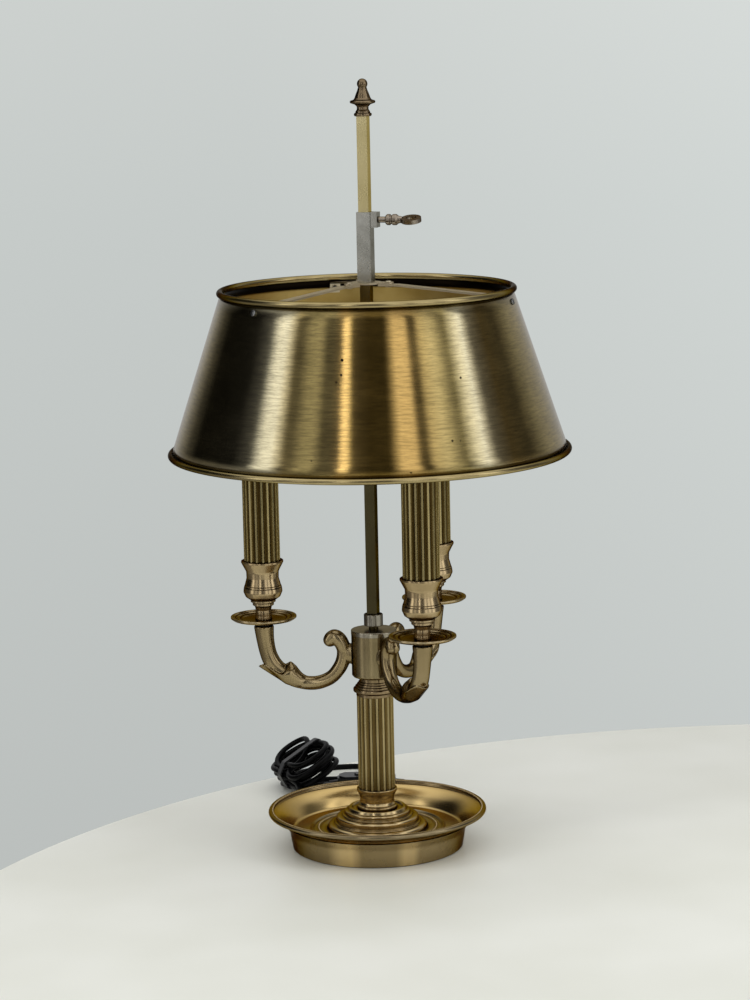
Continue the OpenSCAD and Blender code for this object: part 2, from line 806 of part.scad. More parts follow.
module candle_pipes() {
    color(STEEL)
        for (i = [0 : 2])
            on_arm(i)
                tube(pipe_r, pipe_bore_r, pipe_foot + seat,
                    holder_z + nipple_depth - pipe_foot - 2 * seat);
}

module lamp_contacts() {
    z = well_floor + seat;
    color(PALE_BRASS)
        for (i = [0 : 2])
            on_arm(i)
                turned([
                    [0, z, 0], [4.6, z, 0], [4.6, z + 1, 0.3], [1.9, z + 1.2, 0],
                    [1.9, z + 2.9, 0.6], [0, z + 3.3, 0]
                ]);
}

module arm_leads() {
    color(RUBBER)
        for (turn = arm_turns)
            rotate(turn)
                translate([0, 0, drum_z])
                    swept(lead_path(), lead_r, 8);
}

// ---- shade and spider ----

// Radius of the middle of the shade's sheet at a height
function shade_r(z) = shade_foot_r - sheet_inset - shade_slope * (z - shade_z);

// Puts children on the shade's wall at screw height, with X pointing out of the wall
module at_screws() {
    for (turn = spider_turns)
        rotate(turn)
            translate([shade_r(screw_z), 0, screw_z])
                rotate([0, -shade_angle, 0])
                    children();
}

module screw_hole() {
    rotate([0, 90, 0])
        cylinder(r = screw_r + 0.1, h = 12, center = true, $fn = 24);
}

module shade() {
    half = shade_sheet / 2 / cos(shade_angle);
    color(BRASS)
        difference() {
            union() {
                turned([
                    [shade_r(shade_z) - half, shade_z, 0], [shade_r(shade_z) + half, shade_z, 0],
                    [shade_r(shade_top_z) + half, shade_top_z, 0],
                    [shade_r(shade_top_z) - half, shade_top_z, 0]
                ]);
                ring_at(shade_foot_r, shade_z, foot_roll_d);
                ring_at(shade_top_r, shade_top_z, top_roll_d);
            }
            ring_at(shade_foot_r, shade_z, rim_wire_d + 2 * seat);
            ring_at(shade_top_r, shade_top_z, rim_wire_d + 2 * seat);
            at_screws()
                screw_hole();
        }
}

module shade_wires() {
    color(STEEL) {
        ring_at(shade_foot_r, shade_z, rim_wire_d);
        ring_at(shade_top_r, shade_top_z, rim_wire_d);
    }
}

// Plate with three lobes, brazed round the sleeve's foot
module spider_plate() {
    hole = sleeve_side + 2 * seat;
    color(PALE_BRASS)
        translate([0, 0, plate_z])
            difference() {
                union() {
                    cylinder(r = plate_r, h = strap_t, $fn = 48);
                    for (turn = spider_turns)
                        rotate(turn) {
                            translate([0, -strap_w / 2, 0])
                                cube([lobe_l, strap_w, strap_t]);
                            translate([lobe_l, 0, 0])
                                cylinder(d = strap_w, h = strap_t, $fn = 32);
                        }
                }
                rotate(rod_turn)
                    translate([-hole / 2, -hole / 2, -1])
                        cube([hole, hole, strap_t + 2]);
                for (turn = spider_turns)
                    rotate(turn)
                        translate([lobe_l, 0, -1])
                            cylinder(r = rivet_r + seat, h = strap_t + 2, $fn = 24);
            }
}

// Strap that runs under its lobe, slopes to the shade and turns down against the wall
module spider_strap() {
    top = plate_z - seat;
    end_z = screw_z + 4.7;
    end_x = tab_face - shade_slope * (end_z - screw_z);
    low_z = screw_z - 5;
    low_x = tab_face + shade_slope * (screw_z - low_z);
    color(PALE_BRASS)
        difference() {
            translate([0, strap_w / 2, 0])
                rotate([90, 0, 0])
                    linear_extrude(strap_w)
                        polygon([
                            [11.5, top - strap_t], [28, top - strap_t],
                            [end_x - strap_t * 1.1, end_z - strap_t], [low_x - strap_t, low_z],
                            [low_x, low_z], [end_x, end_z], [28, top], [11.5, top]
                        ]);
            translate([lobe_l, 0, top - strap_t - 1])
                cylinder(r = rivet_r + seat, h = strap_t + 2, $fn = 24);
            translate([shade_r(screw_z), 0, screw_z])
                rotate([0, -shade_angle, 0])
                    screw_hole();
        }
}

module spider_straps() {
    for (turn = spider_turns)
        rotate(turn)
            spider_strap();
}

module spider_rivets() {
    low = plate_z - strap_t - seat;
    high = plate_z + strap_t;
    color(PALE_BRASS)
        for (turn = spider_turns)
            rotate(turn)
                translate([lobe_l, 0, 0])
                    turned([
                        [0, low - 1, 0], [2.6, low - 1, 0.4], [2.6, low - seat, 0],
                        [rivet_r, low - seat, 0], [rivet_r, high + seat, 0],
                        [2.6, high + seat, 0], [2.6, high + 1, 0.5], [0, high + 1.1, 0]
                    ]);
}

nut_x = -shade_sheet / 2 - strap_t - 2;

module spider_screws() {
    color(STEEL)
        at_screws()
            rotate([0, 90, 0])
                turned([
                    [0, nut_x - 1.2, 0], [screw_r, nut_x - 1.2, 0.3],
                    [screw_r, shade_sheet / 2 + 0.15, 0], [2.7, shade_sheet / 2 + 0.15, 0],
                    [2.7, shade_sheet / 2 + 1.4, 0.5], [0, shade_sheet / 2 + 1.9, 0]
                ]);
}

module spider_nuts() {
    color(STEEL)
        at_screws()
            translate([nut_x - 0.6, 0, 0])
                rotate([0, 90, 0])
                    difference() {
                        cylinder(r = 2.4, h = 2, $fn = 6);
                        translate([0, 0, -1])
                            cylinder(r = screw_r + seat, h = 4, $fn = 24);
                    }
}

// ---- slider and key ----

module slider_sleeve() {
    bore = rod_side + 2 * slide_gap;
    color(STEEL)
        rotate(rod_turn)
            difference() {
                translate([-sleeve_side / 2, -sleeve_side / 2, sleeve_z])
                    cube([sleeve_side, sleeve_side, sleeve_h]);
                translate([-bore / 2, -bore / 2, sleeve_z - 1])
                    cube([bore, bore, sleeve_h + 2]);
                translate([0, 0, key_z])
                    rotate([0, 90, 0])
                        cylinder(r = stud_r + seat, h = sleeve_side, $fn = 32);
            }
}

module clamp_boss() {
    w = 10;
    color(STEEL)
        rotate(rod_turn)
            difference() {
                translate([sleeve_side / 2 + seat, -w / 2, key_z - boss_h / 2])
                    cube([boss_d - seat, w, boss_h]);
                translate([0, 0, key_z])
                    rotate([0, 90, 0])
                        cylinder(r = stud_r + seat, h = 3 * sleeve_side, $fn = 32);
            }
}

module clamp_stud() {
    tip = rod_side / 2 + 0.05;
    color(STEEL)
        rotate(rod_turn)
            translate([tip, 0, key_z])
                rotate([0, 90, 0])
                    cylinder(r = stud_r, h = barrel_x + 7 - tip, $fn = 32);
}

// Key head: a turned barrel with a flat pierced bow
module key() {
    bow_t = 3.6;
    bore = stud_r + seat;
    color(BRONZE)
        rotate(rod_turn)
            translate([0, 0, key_z])
                rotate([key_roll, 0, 0]) {
                    rotate([0, 90, 0])
                        turned([
                            [bore, barrel_x, 0], [3.9, barrel_x, 0.3], [4.7, barrel_x + 1.2, 0.4],
                            [4.7, barrel_x + 3.4, 0.5], [3.8, barrel_x + 4.2, 0.3],
                            [3.8, barrel_x + 5.2, 0.3], [4.7, barrel_x + 6, 0.5],
                            [4.7, barrel_x + 9, 0.6], [3.4, barrel_x + 10.6, 0.5],
                            [2.6, barrel_x + barrel_l + 1, 0], [0, barrel_x + barrel_l + 1, 0],
                            [0, barrel_x + 7.4, 0], [bore, barrel_x + 7.4, 0]
                        ]);
                    difference() {
                        union() {
                            translate([bow_x + bow_r, 0, -bow_t / 2])
                                cylinder(r = bow_r, h = bow_t, $fn = 48);
                            translate([bow_x - 1, -2.6, -bow_t / 2])
                                cube([4, 5.2, bow_t]);
                        }
                        translate([bow_x + bow_r, 0, -bow_t])
                            cylinder(r = bow_r * 0.52, h = 2 * bow_t, $fn = 40);
                    }
                }
}

// ---- cord, switch and plug ----

// Rubber bushing in the skirt with a tapered sleeve for the cord
module cord_bushing() {
    wall = skirt_exit_r;
    outside = skirt_foot_r + skirt_flare * (exit_z + 5.3) / skirt_bend_z + seat;
    inside = skirt_foot_r + skirt_flare * (exit_z - 5) / skirt_bend_z - sheet - 0.25;
    color(RUBBER)
        translate([0, 0, exit_z])
            rotate([-90, 0, 0])
                turned([
                    [cord_r + seat, wall - 3.9, 0], [5, wall - 3.9, 0.4],
                    [5, inside, 0], [bushing_hole_r - 0.1, inside, 0],
                    [bushing_hole_r - 0.1, outside, 0], [5.3, outside, 0],
                    [5.3, outside + 1.6, 0.5], [4.6, outside + 1.8, 0], [3.4, bushing_tip, 0.3],
                    [cord_r + seat, bushing_tip, 0]
                ]);
}

// Inner lead, from the bushing under the tray and up the pipe to the terminal block
module base_lead() {
    window_z = drum_z + 12.5;
    start = skirt_exit_r - 3.9;
    color(RUBBER)
        swept([
            [0, start, exit_z], [0, start - 3, exit_z - 0.3], [0, start - 7.5, 6.2],
            [0, start - 13.5, 5.2], [0, start - 31.5, 5], [0, 20, 5], [0, 9, 5], [0, 5, 5],
            [0, 2.4, 6], [0, 0.8, 8.4], [0, 0, 12], [0, 0, 20], [0, 0, drum_z - 6],
            [0, 0, drum_z + 3], [0.4, 0, drum_z + 7], [1.6, 0, window_z - 2],
            [3.4, 0, window_z - 0.4], [5, 0, window_z]
        ], 1.7, 8, [1, 0, 0]);
}

// A point on the switch's or the plug's long axis, x from its middle
function in_switch(x) =
    [switch_at[0] + x * cos(switch_turn), switch_at[1] + x * sin(switch_turn), cord_in_switch];
function in_plug(x) =
    [plug_at[0] + x * cos(plug_turn), plug_at[1] + x * sin(plug_turn), plug_h / 2];
relief_end = switch_l / 2 + switch_relief_l;
cord_stop = switch_l / 2 - 3;

module cord_run_a() {
    way = smooth(concat(route_a, [in_switch(relief_end + 4), in_switch(relief_end)]), 2);
    color(RUBBER)
        swept(concat(way, [in_switch(cord_stop)]), cord_r, 10);
}

module cord_run_b() {
    way = smooth(concat([in_switch(-relief_end), in_switch(-relief_end - 4)], route_b), 2);
    color(RUBBER)
        swept(concat([in_switch(-cord_stop)], way), cord_r, 10);
}

module cord_tail() {
    way = smooth(concat(route_tail, [in_plug(-plug_l / 2 - 3), in_plug(-plug_l / 2 + 1)]), 2);
    color(RUBBER)
        swept(concat(way, [in_plug(-plug_l / 2 + 8)]), cord_r, 10);
}

// Lays children in the hank's own frame: X along its runs, Y across, Z through its thickness
module in_hank() {
    translate(hank_at)
        rotate([0, 0, hank_turn])
            rotate([0, -hank_tilt, 0])
                rotate([90 + hank_lean, 0, 0])
                    children();
}

module racetrack(l, w) {
    square([l - w, w], center = true);
    for (side = [-1, 1])
        translate([side * (l - w) / 2, 0])
            circle(d = w, $fn = 48);
}

module cord_hank() {
    color(RUBBER)
        in_hank()
            translate([0, 0, -hank_t / 2])
                linear_extrude(hank_t)
                    racetrack(hank_l, hank_w);
}

module cord_tie() {
    w = hank_w + 0.2;
    t = hank_t + 0.2;
    band = 1.2;
    color(RUBBER)
        in_hank()
            difference() {
                cube([5, w + 2 * band, t + 2 * band], center = true);
                cube([6, w, t], center = true);
            }
}

module at_plug() {
    translate([plug_at[0], plug_at[1], 0])
        rotate(plug_turn)
            children();
}

// Flat two-pin plug, lying down
module plug_body() {
    front = plug_l / 2;
    color(RUBBER)
        at_plug() {
            difference() {
                linear_extrude(plug_h)
                    polygon([
                        [front, -plug_w / 2 + 3], [front, plug_w / 2 - 3],
                        [front - 3, plug_w / 2], [front - 12, plug_w / 2],
                        [-front, 6], [-front, -6],
                        [front - 12, -plug_w / 2], [front - 3, -plug_w / 2]
                    ]);
                for (side = [-1, 1])
                    translate([front - 5, side * pin_gap / 2, plug_h / 2])
                        rotate([0, 90, 0])
                            cylinder(r = 2 + seat, h = 10, $fn = 24);
                translate([-front - 1, 0, plug_h / 2])
                    rotate([0, 90, 0])
                        cylinder(r = cord_r + seat, h = 9, $fn = 24);
            }
        }
}

module plug_pins() {
    color(STEEL)
        at_plug()
            for (side = [-1, 1])
                translate([plug_l / 2 - 5 + seat, side * pin_gap / 2, plug_h / 2])
                    rotate([0, 90, 0])
                        cylinder(r = 2, h = 24, $fn = 24);
}

module at_switch() {
    translate([switch_at[0], switch_at[1], 0])
        rotate(switch_turn)
            children();
}

switch_split = cord_in_switch;
rocker_l = 20;
rocker_w = 9;
rocker_pin_z = switch_h - 5;

// A shell half: rounded outline between two heights, hollow inside
module switch_outline(inset) {
    l = switch_l - 2 * inset;
    w = switch_w - 2 * inset;
    c = w * 0.3;
    polygon([
        [-l / 2, -w / 2 + c], [-l / 2 + c, -w / 2], [l / 2 - c, -w / 2], [l / 2, -w / 2 + c],
        [l / 2, w / 2 - c], [l / 2 - c, w / 2], [-l / 2 + c, w / 2], [-l / 2, w / 2 - c]
    ]);
}

module cord_through_switch() {
    for (side = [-1, 1])
        translate([side * (switch_l / 2 - 4), 0, cord_in_switch])
            rotate([0, side * 90, 0])
                cylinder(r = cord_r + seat, h = 6 + switch_relief_l, $fn = 24);
}

module switch_base() {
    color(RUBBER)
        at_switch()
            difference() {
                union() {
                    linear_extrude(switch_split - seat)
                        switch_outline(0);
                    for (side = [-1, 1])
                        translate([side * (switch_l / 2 + seat), 0, cord_in_switch])
                            rotate([0, side * 90, 0])
                                cylinder(r1 = 4.4, r2 = 3.4, h = switch_relief_l, $fn = 32);
                    for (side = [-1, 1])
                        translate([side * (switch_l / 2 - 2), -4, switch_split - 6])
                            linear_extrude(6 - seat)
                                translate([side > 0 ? 0 : -4, 0])
                                    square([4, 8]);
                }
                translate([0, 0, 2])
                    linear_extrude(switch_split)
                        switch_outline(2);
                cord_through_switch();
            }
}

module switch_cover() {
    color(RUBBER)
        at_switch()
            difference() {
                union() {
                    translate([0, 0, switch_split])
                        linear_extrude(switch_h - switch_split - 2)
                            switch_outline(0);
                    translate([0, 0, switch_h - 2])
                        linear_extrude(2)
                            switch_outline(1.6);
                }
                translate([0, 0, switch_split - 1])
                    linear_extrude(switch_h - switch_split - 1)
                        switch_outline(2);
                translate([-rocker_l / 2 - 1.2, -rocker_w / 2 - 0.4, switch_split])
                    cube([rocker_l + 2.4, rocker_w + 0.8, switch_h]);
                cord_through_switch();
                translate([0, 0, rocker_pin_z])
                    rotate([90, 0, 0])
                        cylinder(r = 1 + seat, h = switch_w + 2, center = true, $fn = 24);
            }
}

// Rocker that tips about its cross pin
module switch_rocker() {
    top = switch_h + 0.9;
    color(RUBBER)
        at_switch() {
            translate([0, rocker_w / 2, 0])
                rotate([90, 0, 0])
                    linear_extrude(rocker_w)
                        polygon([
                            [-rocker_l / 2, rocker_pin_z + 1.5], [-3, rocker_pin_z - 2.4],
                            [3, rocker_pin_z - 2.4], [rocker_l / 2, rocker_pin_z + 1.5],
                            [rocker_l / 2, top + 0.8], [0, top - 0.8], [-rocker_l / 2, top + 0.8]
                        ]);
            translate([0, 0, rocker_pin_z])
                rotate([90, 0, 0])
                    cylinder(r = 1, h = switch_w - 0.6, center = true, $fn = 24);
        }
}

felt_pad();
base_weight();
base_skirt();
base_tray();
base_plinth();
column_socket();
column();
capital();
hub_drum();
hub_lid();
stem_pipe();
stem_washer();
stem_nuts();
stem_coupler();
wire_junction();
rod_collar();
square_rod();
finial();
rotate(arm_turns[0]) arm();  // arm_1
rotate(arm_turns[1]) arm();  // arm_2
rotate(arm_turns[2]) arm();  // arm_3
on_arm(0) bobeche();  // bobeche_1
on_arm(1) bobeche();  // bobeche_2
on_arm(2) bobeche();  // bobeche_3
on_arm(0) candle_cup();  // candle_cup_1
on_arm(1) candle_cup();  // candle_cup_2
on_arm(2) candle_cup();  // candle_cup_3
on_arm(0) candle_sleeve();  // candle_sleeve_1
on_arm(1) candle_sleeve();  // candle_sleeve_2
on_arm(2) candle_sleeve();  // candle_sleeve_3
on_arm(0) lampholder();  // lampholder_1
on_arm(1) lampholder();  // lampholder_2
on_arm(2) lampholder();  // lampholder_3
arm_collars();
candle_pipes();
lamp_contacts();
arm_leads();
shade();
shade_wires();
spider_plate();
spider_straps();
spider_rivets();
spider_screws();
spider_nuts();
slider_sleeve();
clamp_boss();
clamp_stud();
key();
cord_bushing();
base_lead();
cord_run_a();
cord_run_b();
cord_tail();
cord_hank();
cord_tie();
plug_body();
plug_pins();
switch_base();
switch_cover();
switch_rocker();
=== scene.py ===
import bpy
import json
from math import asin, atan2, cos, hypot, pi, radians, sin, sqrt
from mathutils import Vector, Matrix
from mathutils.kdtree import KDTree

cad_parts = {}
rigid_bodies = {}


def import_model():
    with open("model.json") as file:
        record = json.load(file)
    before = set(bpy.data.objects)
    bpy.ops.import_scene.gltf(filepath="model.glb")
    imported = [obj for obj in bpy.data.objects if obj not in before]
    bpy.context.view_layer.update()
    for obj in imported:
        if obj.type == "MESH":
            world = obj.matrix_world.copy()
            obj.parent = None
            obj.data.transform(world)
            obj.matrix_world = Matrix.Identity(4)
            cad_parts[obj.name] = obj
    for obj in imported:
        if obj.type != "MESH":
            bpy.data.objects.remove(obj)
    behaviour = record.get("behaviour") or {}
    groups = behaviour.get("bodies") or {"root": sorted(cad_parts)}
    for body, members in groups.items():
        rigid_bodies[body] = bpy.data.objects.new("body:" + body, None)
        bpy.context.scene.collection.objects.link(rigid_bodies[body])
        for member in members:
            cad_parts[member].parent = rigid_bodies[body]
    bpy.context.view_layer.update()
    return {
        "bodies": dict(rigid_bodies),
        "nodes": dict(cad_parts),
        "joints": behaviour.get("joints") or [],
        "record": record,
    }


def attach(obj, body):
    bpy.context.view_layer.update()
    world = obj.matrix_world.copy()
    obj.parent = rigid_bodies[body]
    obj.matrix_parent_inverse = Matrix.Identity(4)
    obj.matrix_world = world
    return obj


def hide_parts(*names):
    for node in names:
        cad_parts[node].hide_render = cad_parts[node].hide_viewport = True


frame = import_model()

nodes = frame["nodes"]
print("loaded", len(nodes), "nodes")

mm = 0.001

# Small tools


def linear(colour):
    parts = [int(colour[i:i + 2], 16) / 255 for i in (1, 3, 5)]
    return tuple(c / 12.92 if c <= 0.04045 else ((c + 0.055) / 1.055) ** 2.4 for c in parts) + (1.0,)


def place(name, data):
    piece = bpy.data.objects.new(name, data)
    bpy.context.scene.collection.objects.link(piece)
    return piece


def addNode(tree, kind, settings=None, links=None):
    node = tree.nodes.new("ShaderNode" + kind)
    for key, value in (settings or {}).items():
        if key == "stops":
            setRamp(node, value)
        elif isinstance(key, str) and hasattr(node, key):
            setattr(node, key, value)
        else:
            node.inputs[key].default_value = value
    return connect(tree, node, links or {})


def connect(tree, node, links):
    for key, source in links.items():
        tree.links.new(source, node.inputs[key])
    return node


# Settings of the nodes that mix colours
blend = {"data_type": "RGBA"}
multiply = {"data_type": "RGBA", "blend_type": "MULTIPLY", 0: 1.0}


def newMaterial(name, values):
    material = bpy.data.materials.new(name)
    material.use_nodes = True
    shader = material.node_tree.nodes["Principled BSDF"]
    for key, value in values.items():
        shader.inputs[key].default_value = value
    return material, material.node_tree, shader


def setRamp(ramp, stops):
    bits = ramp.color_ramp.elements
    while len(bits) < len(stops):
        bits.new(0.5)
    for bit, (where, colour) in zip(bits, stops):
        bit.position = where
        bit.color = linear(colour) if isinstance(colour, str) else (colour, colour, colour, 1)


def turnAngle(tree, coord):
    # angle round the upright axis, from straight in front and growing to the right
    split = addNode(tree, "SeparateXYZ", None, {"Vector": coord})
    back = addNode(tree, "Math", {"operation": "MULTIPLY", 1: -1.0}, {0: split.outputs["Y"]})
    angle = addNode(tree, "Math", {"operation": "ARCTAN2"}, {0: split.outputs["X"], 1: back.outputs["Value"]})
    return angle.outputs["Value"]


def roundRamp(tree, angle, stops):
    # stops in degrees from straight in front, spread over two ramps because one holds only 32
    sides = []
    for low, high in ((-180, 0), (0, 180)):
        ends = {"From Min": radians(low), "From Max": radians(high)}
        share = addNode(tree, "MapRange", ends, {"Value": angle})
        half = [((a - low) / 180, v) for a, v in stops if low <= a <= high]
        sides.append(addNode(tree, "ValToRGB", {"stops": half}, {"Fac": share.outputs["Result"]}))
    right = addNode(tree, "Math", {"operation": "GREATER_THAN", 1: 0.0}, {0: angle})
    both = addNode(tree, "Mix", blend,
                   {0: right.outputs["Value"], 6: sides[0].outputs["Color"], 7: sides[1].outputs["Color"]})
    return both.outputs[2]


def ringFaces(rows, sides, closed=False):
    # quads between one ring of points and the next, and from the last to the first if closed
    return [(i * sides + k, i * sides + n, j * sides + n, j * sides + k)
            for i, j in ((i, (i + 1) % rows) for i in range(rows if closed else rows - 1))
            for k, n in ((k, (k + 1) % sides) for k in range(sides))]


def lathe(profile, sides, closed=False):
    verts = [(r * mm * cos(2 * pi * k / sides), r * mm * sin(2 * pi * k / sides), z * mm)
             for r, z in profile for k in range(sides)]
    return verts, ringFaces(len(profile), sides, closed)


def newPiece(name, verts, faces, material, body=None, smooth=True):
    mesh = bpy.data.meshes.new(name)
    mesh.from_pydata([tuple(v) for v in verts], [], faces)
    mesh.update()
    for face in mesh.polygons:
        face.use_smooth = smooth
    for m in material if isinstance(material, list) else [material]:
        mesh.materials.append(m)
    piece = place(name, mesh)
    if body:
        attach(piece, body)
    return piece


def catmull(a, b, c, d, t):
    return 0.5 * (2 * b + (c - a) * t + (2 * a - 5 * b + 4 * c - d) * t * t
                  + (3 * b - a - 3 * c + d) * t * t * t)


def smoothRun(points, steps):
    p = [Vector(q) for q in points]
    run = []
    for i in range(len(p) - 1):
        for s in range(steps):
            run.append(catmull(p[max(i - 1, 0)], p[i], p[i + 1], p[min(i + 2, len(p) - 1)], s / steps))
    return run + [p[-1]]


# Camera

cameraPlan = {
    "distance": 2.5815,  # metres from the lamp's axis
    "around": 4.74,      # degrees to the right of straight on
    "height": 0.7425,
    "down": 0.1678,      # radians
    "lean": 0.021,
    "lens": 109.97,
    "shift": 0.0041,
    "farthest": 30,      # metres
}


def placeCamera(plan):
    around = radians(plan["around"])
    ahead = Vector((-sin(around) * cos(plan["down"]), cos(around) * cos(plan["down"]), -sin(plan["down"])))
    side = Vector((cos(around), sin(around), 0))
    up = side.cross(ahead)
    right = cos(plan["lean"]) * side - sin(plan["lean"]) * up
    top = sin(plan["lean"]) * side + cos(plan["lean"]) * up
    data = bpy.data.cameras.new("camera")
    data.lens = plan["lens"]
    data.shift_x = plan["shift"]
    data.clip_end = plan["farthest"]
    turn = Matrix((right, top, -ahead)).transposed().to_4x4()
    where = (plan["distance"] * sin(around), -plan["distance"] * cos(around), plan["height"])
    camera = place("camera", data)
    camera.matrix_world = Matrix.Translation(where) @ turn
    bpy.context.scene.camera = camera


placeCamera(cameraPlan)
print("camera placed")

# Cords: a lead to the switch, then one lead through the hank to the plug

cordPlan = {
    "thick": 5,
    "step": 2.5, "relaxing": 10, "held": 3,    # points this far apart, smoothed this often, the end ones held
    "switchReach": (24, 35, 39), "plugReach": (9, 16, 20),    # where the flex straightens and goes in
    "fromBase": [(0, 71.5, 7.5), (0, 80, 7.5), (0, 89, 7.5)], "bushing": (0, 95, 7.5),
    "switchAt": (-24, 175), "switchTurn": 5, "switchHeight": 8,
    "plugAt": (-48, 139.5), "plugTurn": 170, "plugHeight": 6.85,
    "toSwitch": [
        (0, 98, 7.5), (0, 108, 6.2), (3.4, 118.5, 4.4), (10.2, 127, 2.9), (18.5, 132, 2.5), (27, 133.6, 2.5),
        (35.6, 135.3, 2.5), (42.8, 140.2, 2.5), (47.7, 147.4, 2.5), (49.4, 156, 2.6), (47.7, 164.6, 3),
        (42.8, 171.8, 3.8), (35.6, 176.7, 5), (27, 178.6, 6.4)],
    "toHank": [
        (-70.6, 172.4, 6.8), (-77.5, 176.2, 5), (-82.3, 182.3, 3.6), (-84.5, 189.8, 2.8), (-83.7, 197.5, 2.5),
        (-79.9, 204.4, 2.5), (-73.8, 209.2, 2.5), (-66.3, 211.4, 2.5), (-54, 212.6, 2.5), (-42, 213.6, 2.5),
        (-30, 215.6, 2.5), (-19.3, 218.5, 2.5), (-11.5, 226.3, 2.5), (-8.6, 237, 2.5), (-11.5, 247.7, 2.5),
        (-19.3, 255.5, 2.5), (-30, 258.6, 2.5), (-43, 259.4, 2.5), (-57, 257, 2.5), (-72, 251, 2.5),
        (-86, 243, 2.5), (-96.5, 232, 2.5), (-103, 219, 2.5), (-104.6, 206, 2.5), (-103.4, 197, 3)],
    "toPlug": [
        (-83.5, 140.3, 15.2), (-81.8, 131, 13), (-78.6, 120.5, 9), (-72, 109.6, 5.6), (-60.5, 101, 3.2),
        (-46.5, 96.4, 2.6), (-32, 95.4, 2.6), (-21, 98, 2.6), (-13.3, 105.5, 2.9), (-10.5, 115.7, 3.7),
        (-13.2, 125.9, 5), (-20, 132.9, 6.3)],
}
hankPlan = {
    "at": (-82, 179.5, 25.7), "turn": -67.3, "tilt": 8, "lean": -59.4,
    "half": 20.5,          # half the straight run
    "waist": 0.04,         # share of the width that the tie draws in
    "bow": 22,             # reach of the folds beyond the straight run
    "step": 4,
    "start": (-20, -19, -8.5), "end": (22, -21.4, -3),
    # folds in order: end of the hank, shift along and across, radius, way round, layer
    "folds": [(1, -2, -1.5, 17.8, 1, -8.5), (-1, -1, -2, 17.8, 1, -8.5), (1, 1.5, -0.5, 21.8, 1, -7.8),
              (-1, 0, -0.5, 21.6, 1, -5.5), (1, -3, 2, 17.8, 1, -3.4), (-1, -2, 4.5, 17.8, -1, -1),
              (1, 0.5, 1, 17.8, -1, 2.2), (-1, 1.5, -1, 21.6, -1, 3.4), (1, 2.5, 1, 22, -1, 2.6),
              (-1, -2, 0.5, 17.8, 1, 7.6), (1, -1, 5, 17.8, 1, 8.8), (-1, 1, -1.5, 20.5, 1, 7.4)],
}
# How strands that would run into each other are moved apart
easingPlan = {
    "gap": 5.4, "rounds": 240,
    "held": 4, "near": 5,           # points kept at each end, and points along the flex that don't count
    "lift": 0.6,                    # strands rather pass over each other than sideways
    "share": 0.5, "pace": 0.8,
    "smooth": 0.5, "swell": -0.53,  # the bends are smoothed, then swell back
}


def alongAxis(at, turn, height, x):
    return Vector((at[0] + x * cos(radians(turn)), at[1] + x * sin(radians(turn)), height))


def inSwitch(x):
    return alongAxis(cordPlan["switchAt"], cordPlan["switchTurn"], cordPlan["switchHeight"], x)


def inPlug(x):
    return alongAxis(cordPlan["plugAt"], cordPlan["plugTurn"], cordPlan["plugHeight"], x)


def hankFrame(plan):
    turn = (Matrix.Rotation(radians(plan["turn"]), 3, "Z") @ Matrix.Rotation(radians(-plan["tilt"]), 3, "Y")
            @ Matrix.Rotation(radians(90 + plan["lean"]), 3, "X"))
    return Matrix.Translation(plan["at"]) @ turn.to_4x4()


def windHank(plan):
    step = plan["step"]
    folds = [(end * plan["half"] + along, across, r * way, z)
             for end, along, across, r, way, z in plan["folds"]]
    (sx, sy, sz), (ex, ey, ez) = plan["start"], plan["end"]
    rounds = [(sx, sy, 0, sz)] + folds + [(ex, ey, 0, ez)]
    # straight runs touch the fold before and the fold after
    headings = [atan2(b[1] - a[1], b[0] - a[0]) + asin((a[2] - b[2]) / hypot(b[0] - a[0], b[1] - a[1]))
                for a, b in zip(rounds, rounds[1:])]
    run = []
    for i, heading in enumerate(headings):
        a, b = rounds[i], rounds[i + 1]
        px, py = a[0] + a[2] * sin(heading), a[1] - a[2] * cos(heading)
        qx, qy = b[0] + b[2] * sin(heading), b[1] - b[2] * cos(heading)
        steps = max(2, int(hypot(qx - px, qy - py) / step))
        for k in range(steps):
            t = k / steps
            z = a[3] + (b[3] - a[3]) * t * t * (3 - 2 * t)
            run.append(Vector((px + (qx - px) * t, py + (qy - py) * t, z)))
        if i + 1 < len(headings):
            swing = (headings[i + 1] - heading) % (2 * pi)
            if b[2] < 0:
                swing -= 2 * pi
            steps = int(abs(swing * b[2]) / step)
            for k in range(steps):
                way = heading + swing * k / steps
                run.append(Vector((b[0] + b[2] * sin(way), b[1] - b[2] * cos(way), b[3])))
    run.append(Vector(plan["end"]))
    for p in run:
        p.y *= 1 - plan["waist"] * cos(max(-1, min(1, p.x / (plan["half"] + plan["bow"]))) * pi / 2) ** 2
    return [hankFrame(plan) @ p for p in easedApart(evenRun(run, step), easingPlan)]


def strandTree(points):
    tree = KDTree(len(points))
    for i, p in enumerate(points):
        tree.insert(p, i)
    tree.balance()
    return tree


def easedApart(points, plan):
    gap, held = plan["gap"], plan["held"]
    last = len(points) - held
    for _ in range(plan["rounds"]):
        tree = strandTree(points)
        moved = []
        for i, p in enumerate(points):
            push, count = Vector(), 0
            for q, j, away in tree.find_range(p, gap) if held <= i < last else []:
                if abs(i - j) > plan["near"]:
                    way = (p - q) / max(away, 0.001)
                    way.z += plan["lift"] if p.z > q.z else -plan["lift"]
                    push += way.normalized() * (gap - away) * plan["share"]
                    count += 1
            moved.append(p + push * plan["pace"] / sqrt(max(count, 1)))
        points = smoothed(smoothed(moved, plan["smooth"], held), plan["swell"], held)
    return points


def smoothed(points, share, held):
    return [p if i < held or i >= len(points) - held
            else p.lerp((points[i - 1] + points[i + 1]) / 2, share)
            for i, p in enumerate(points)]


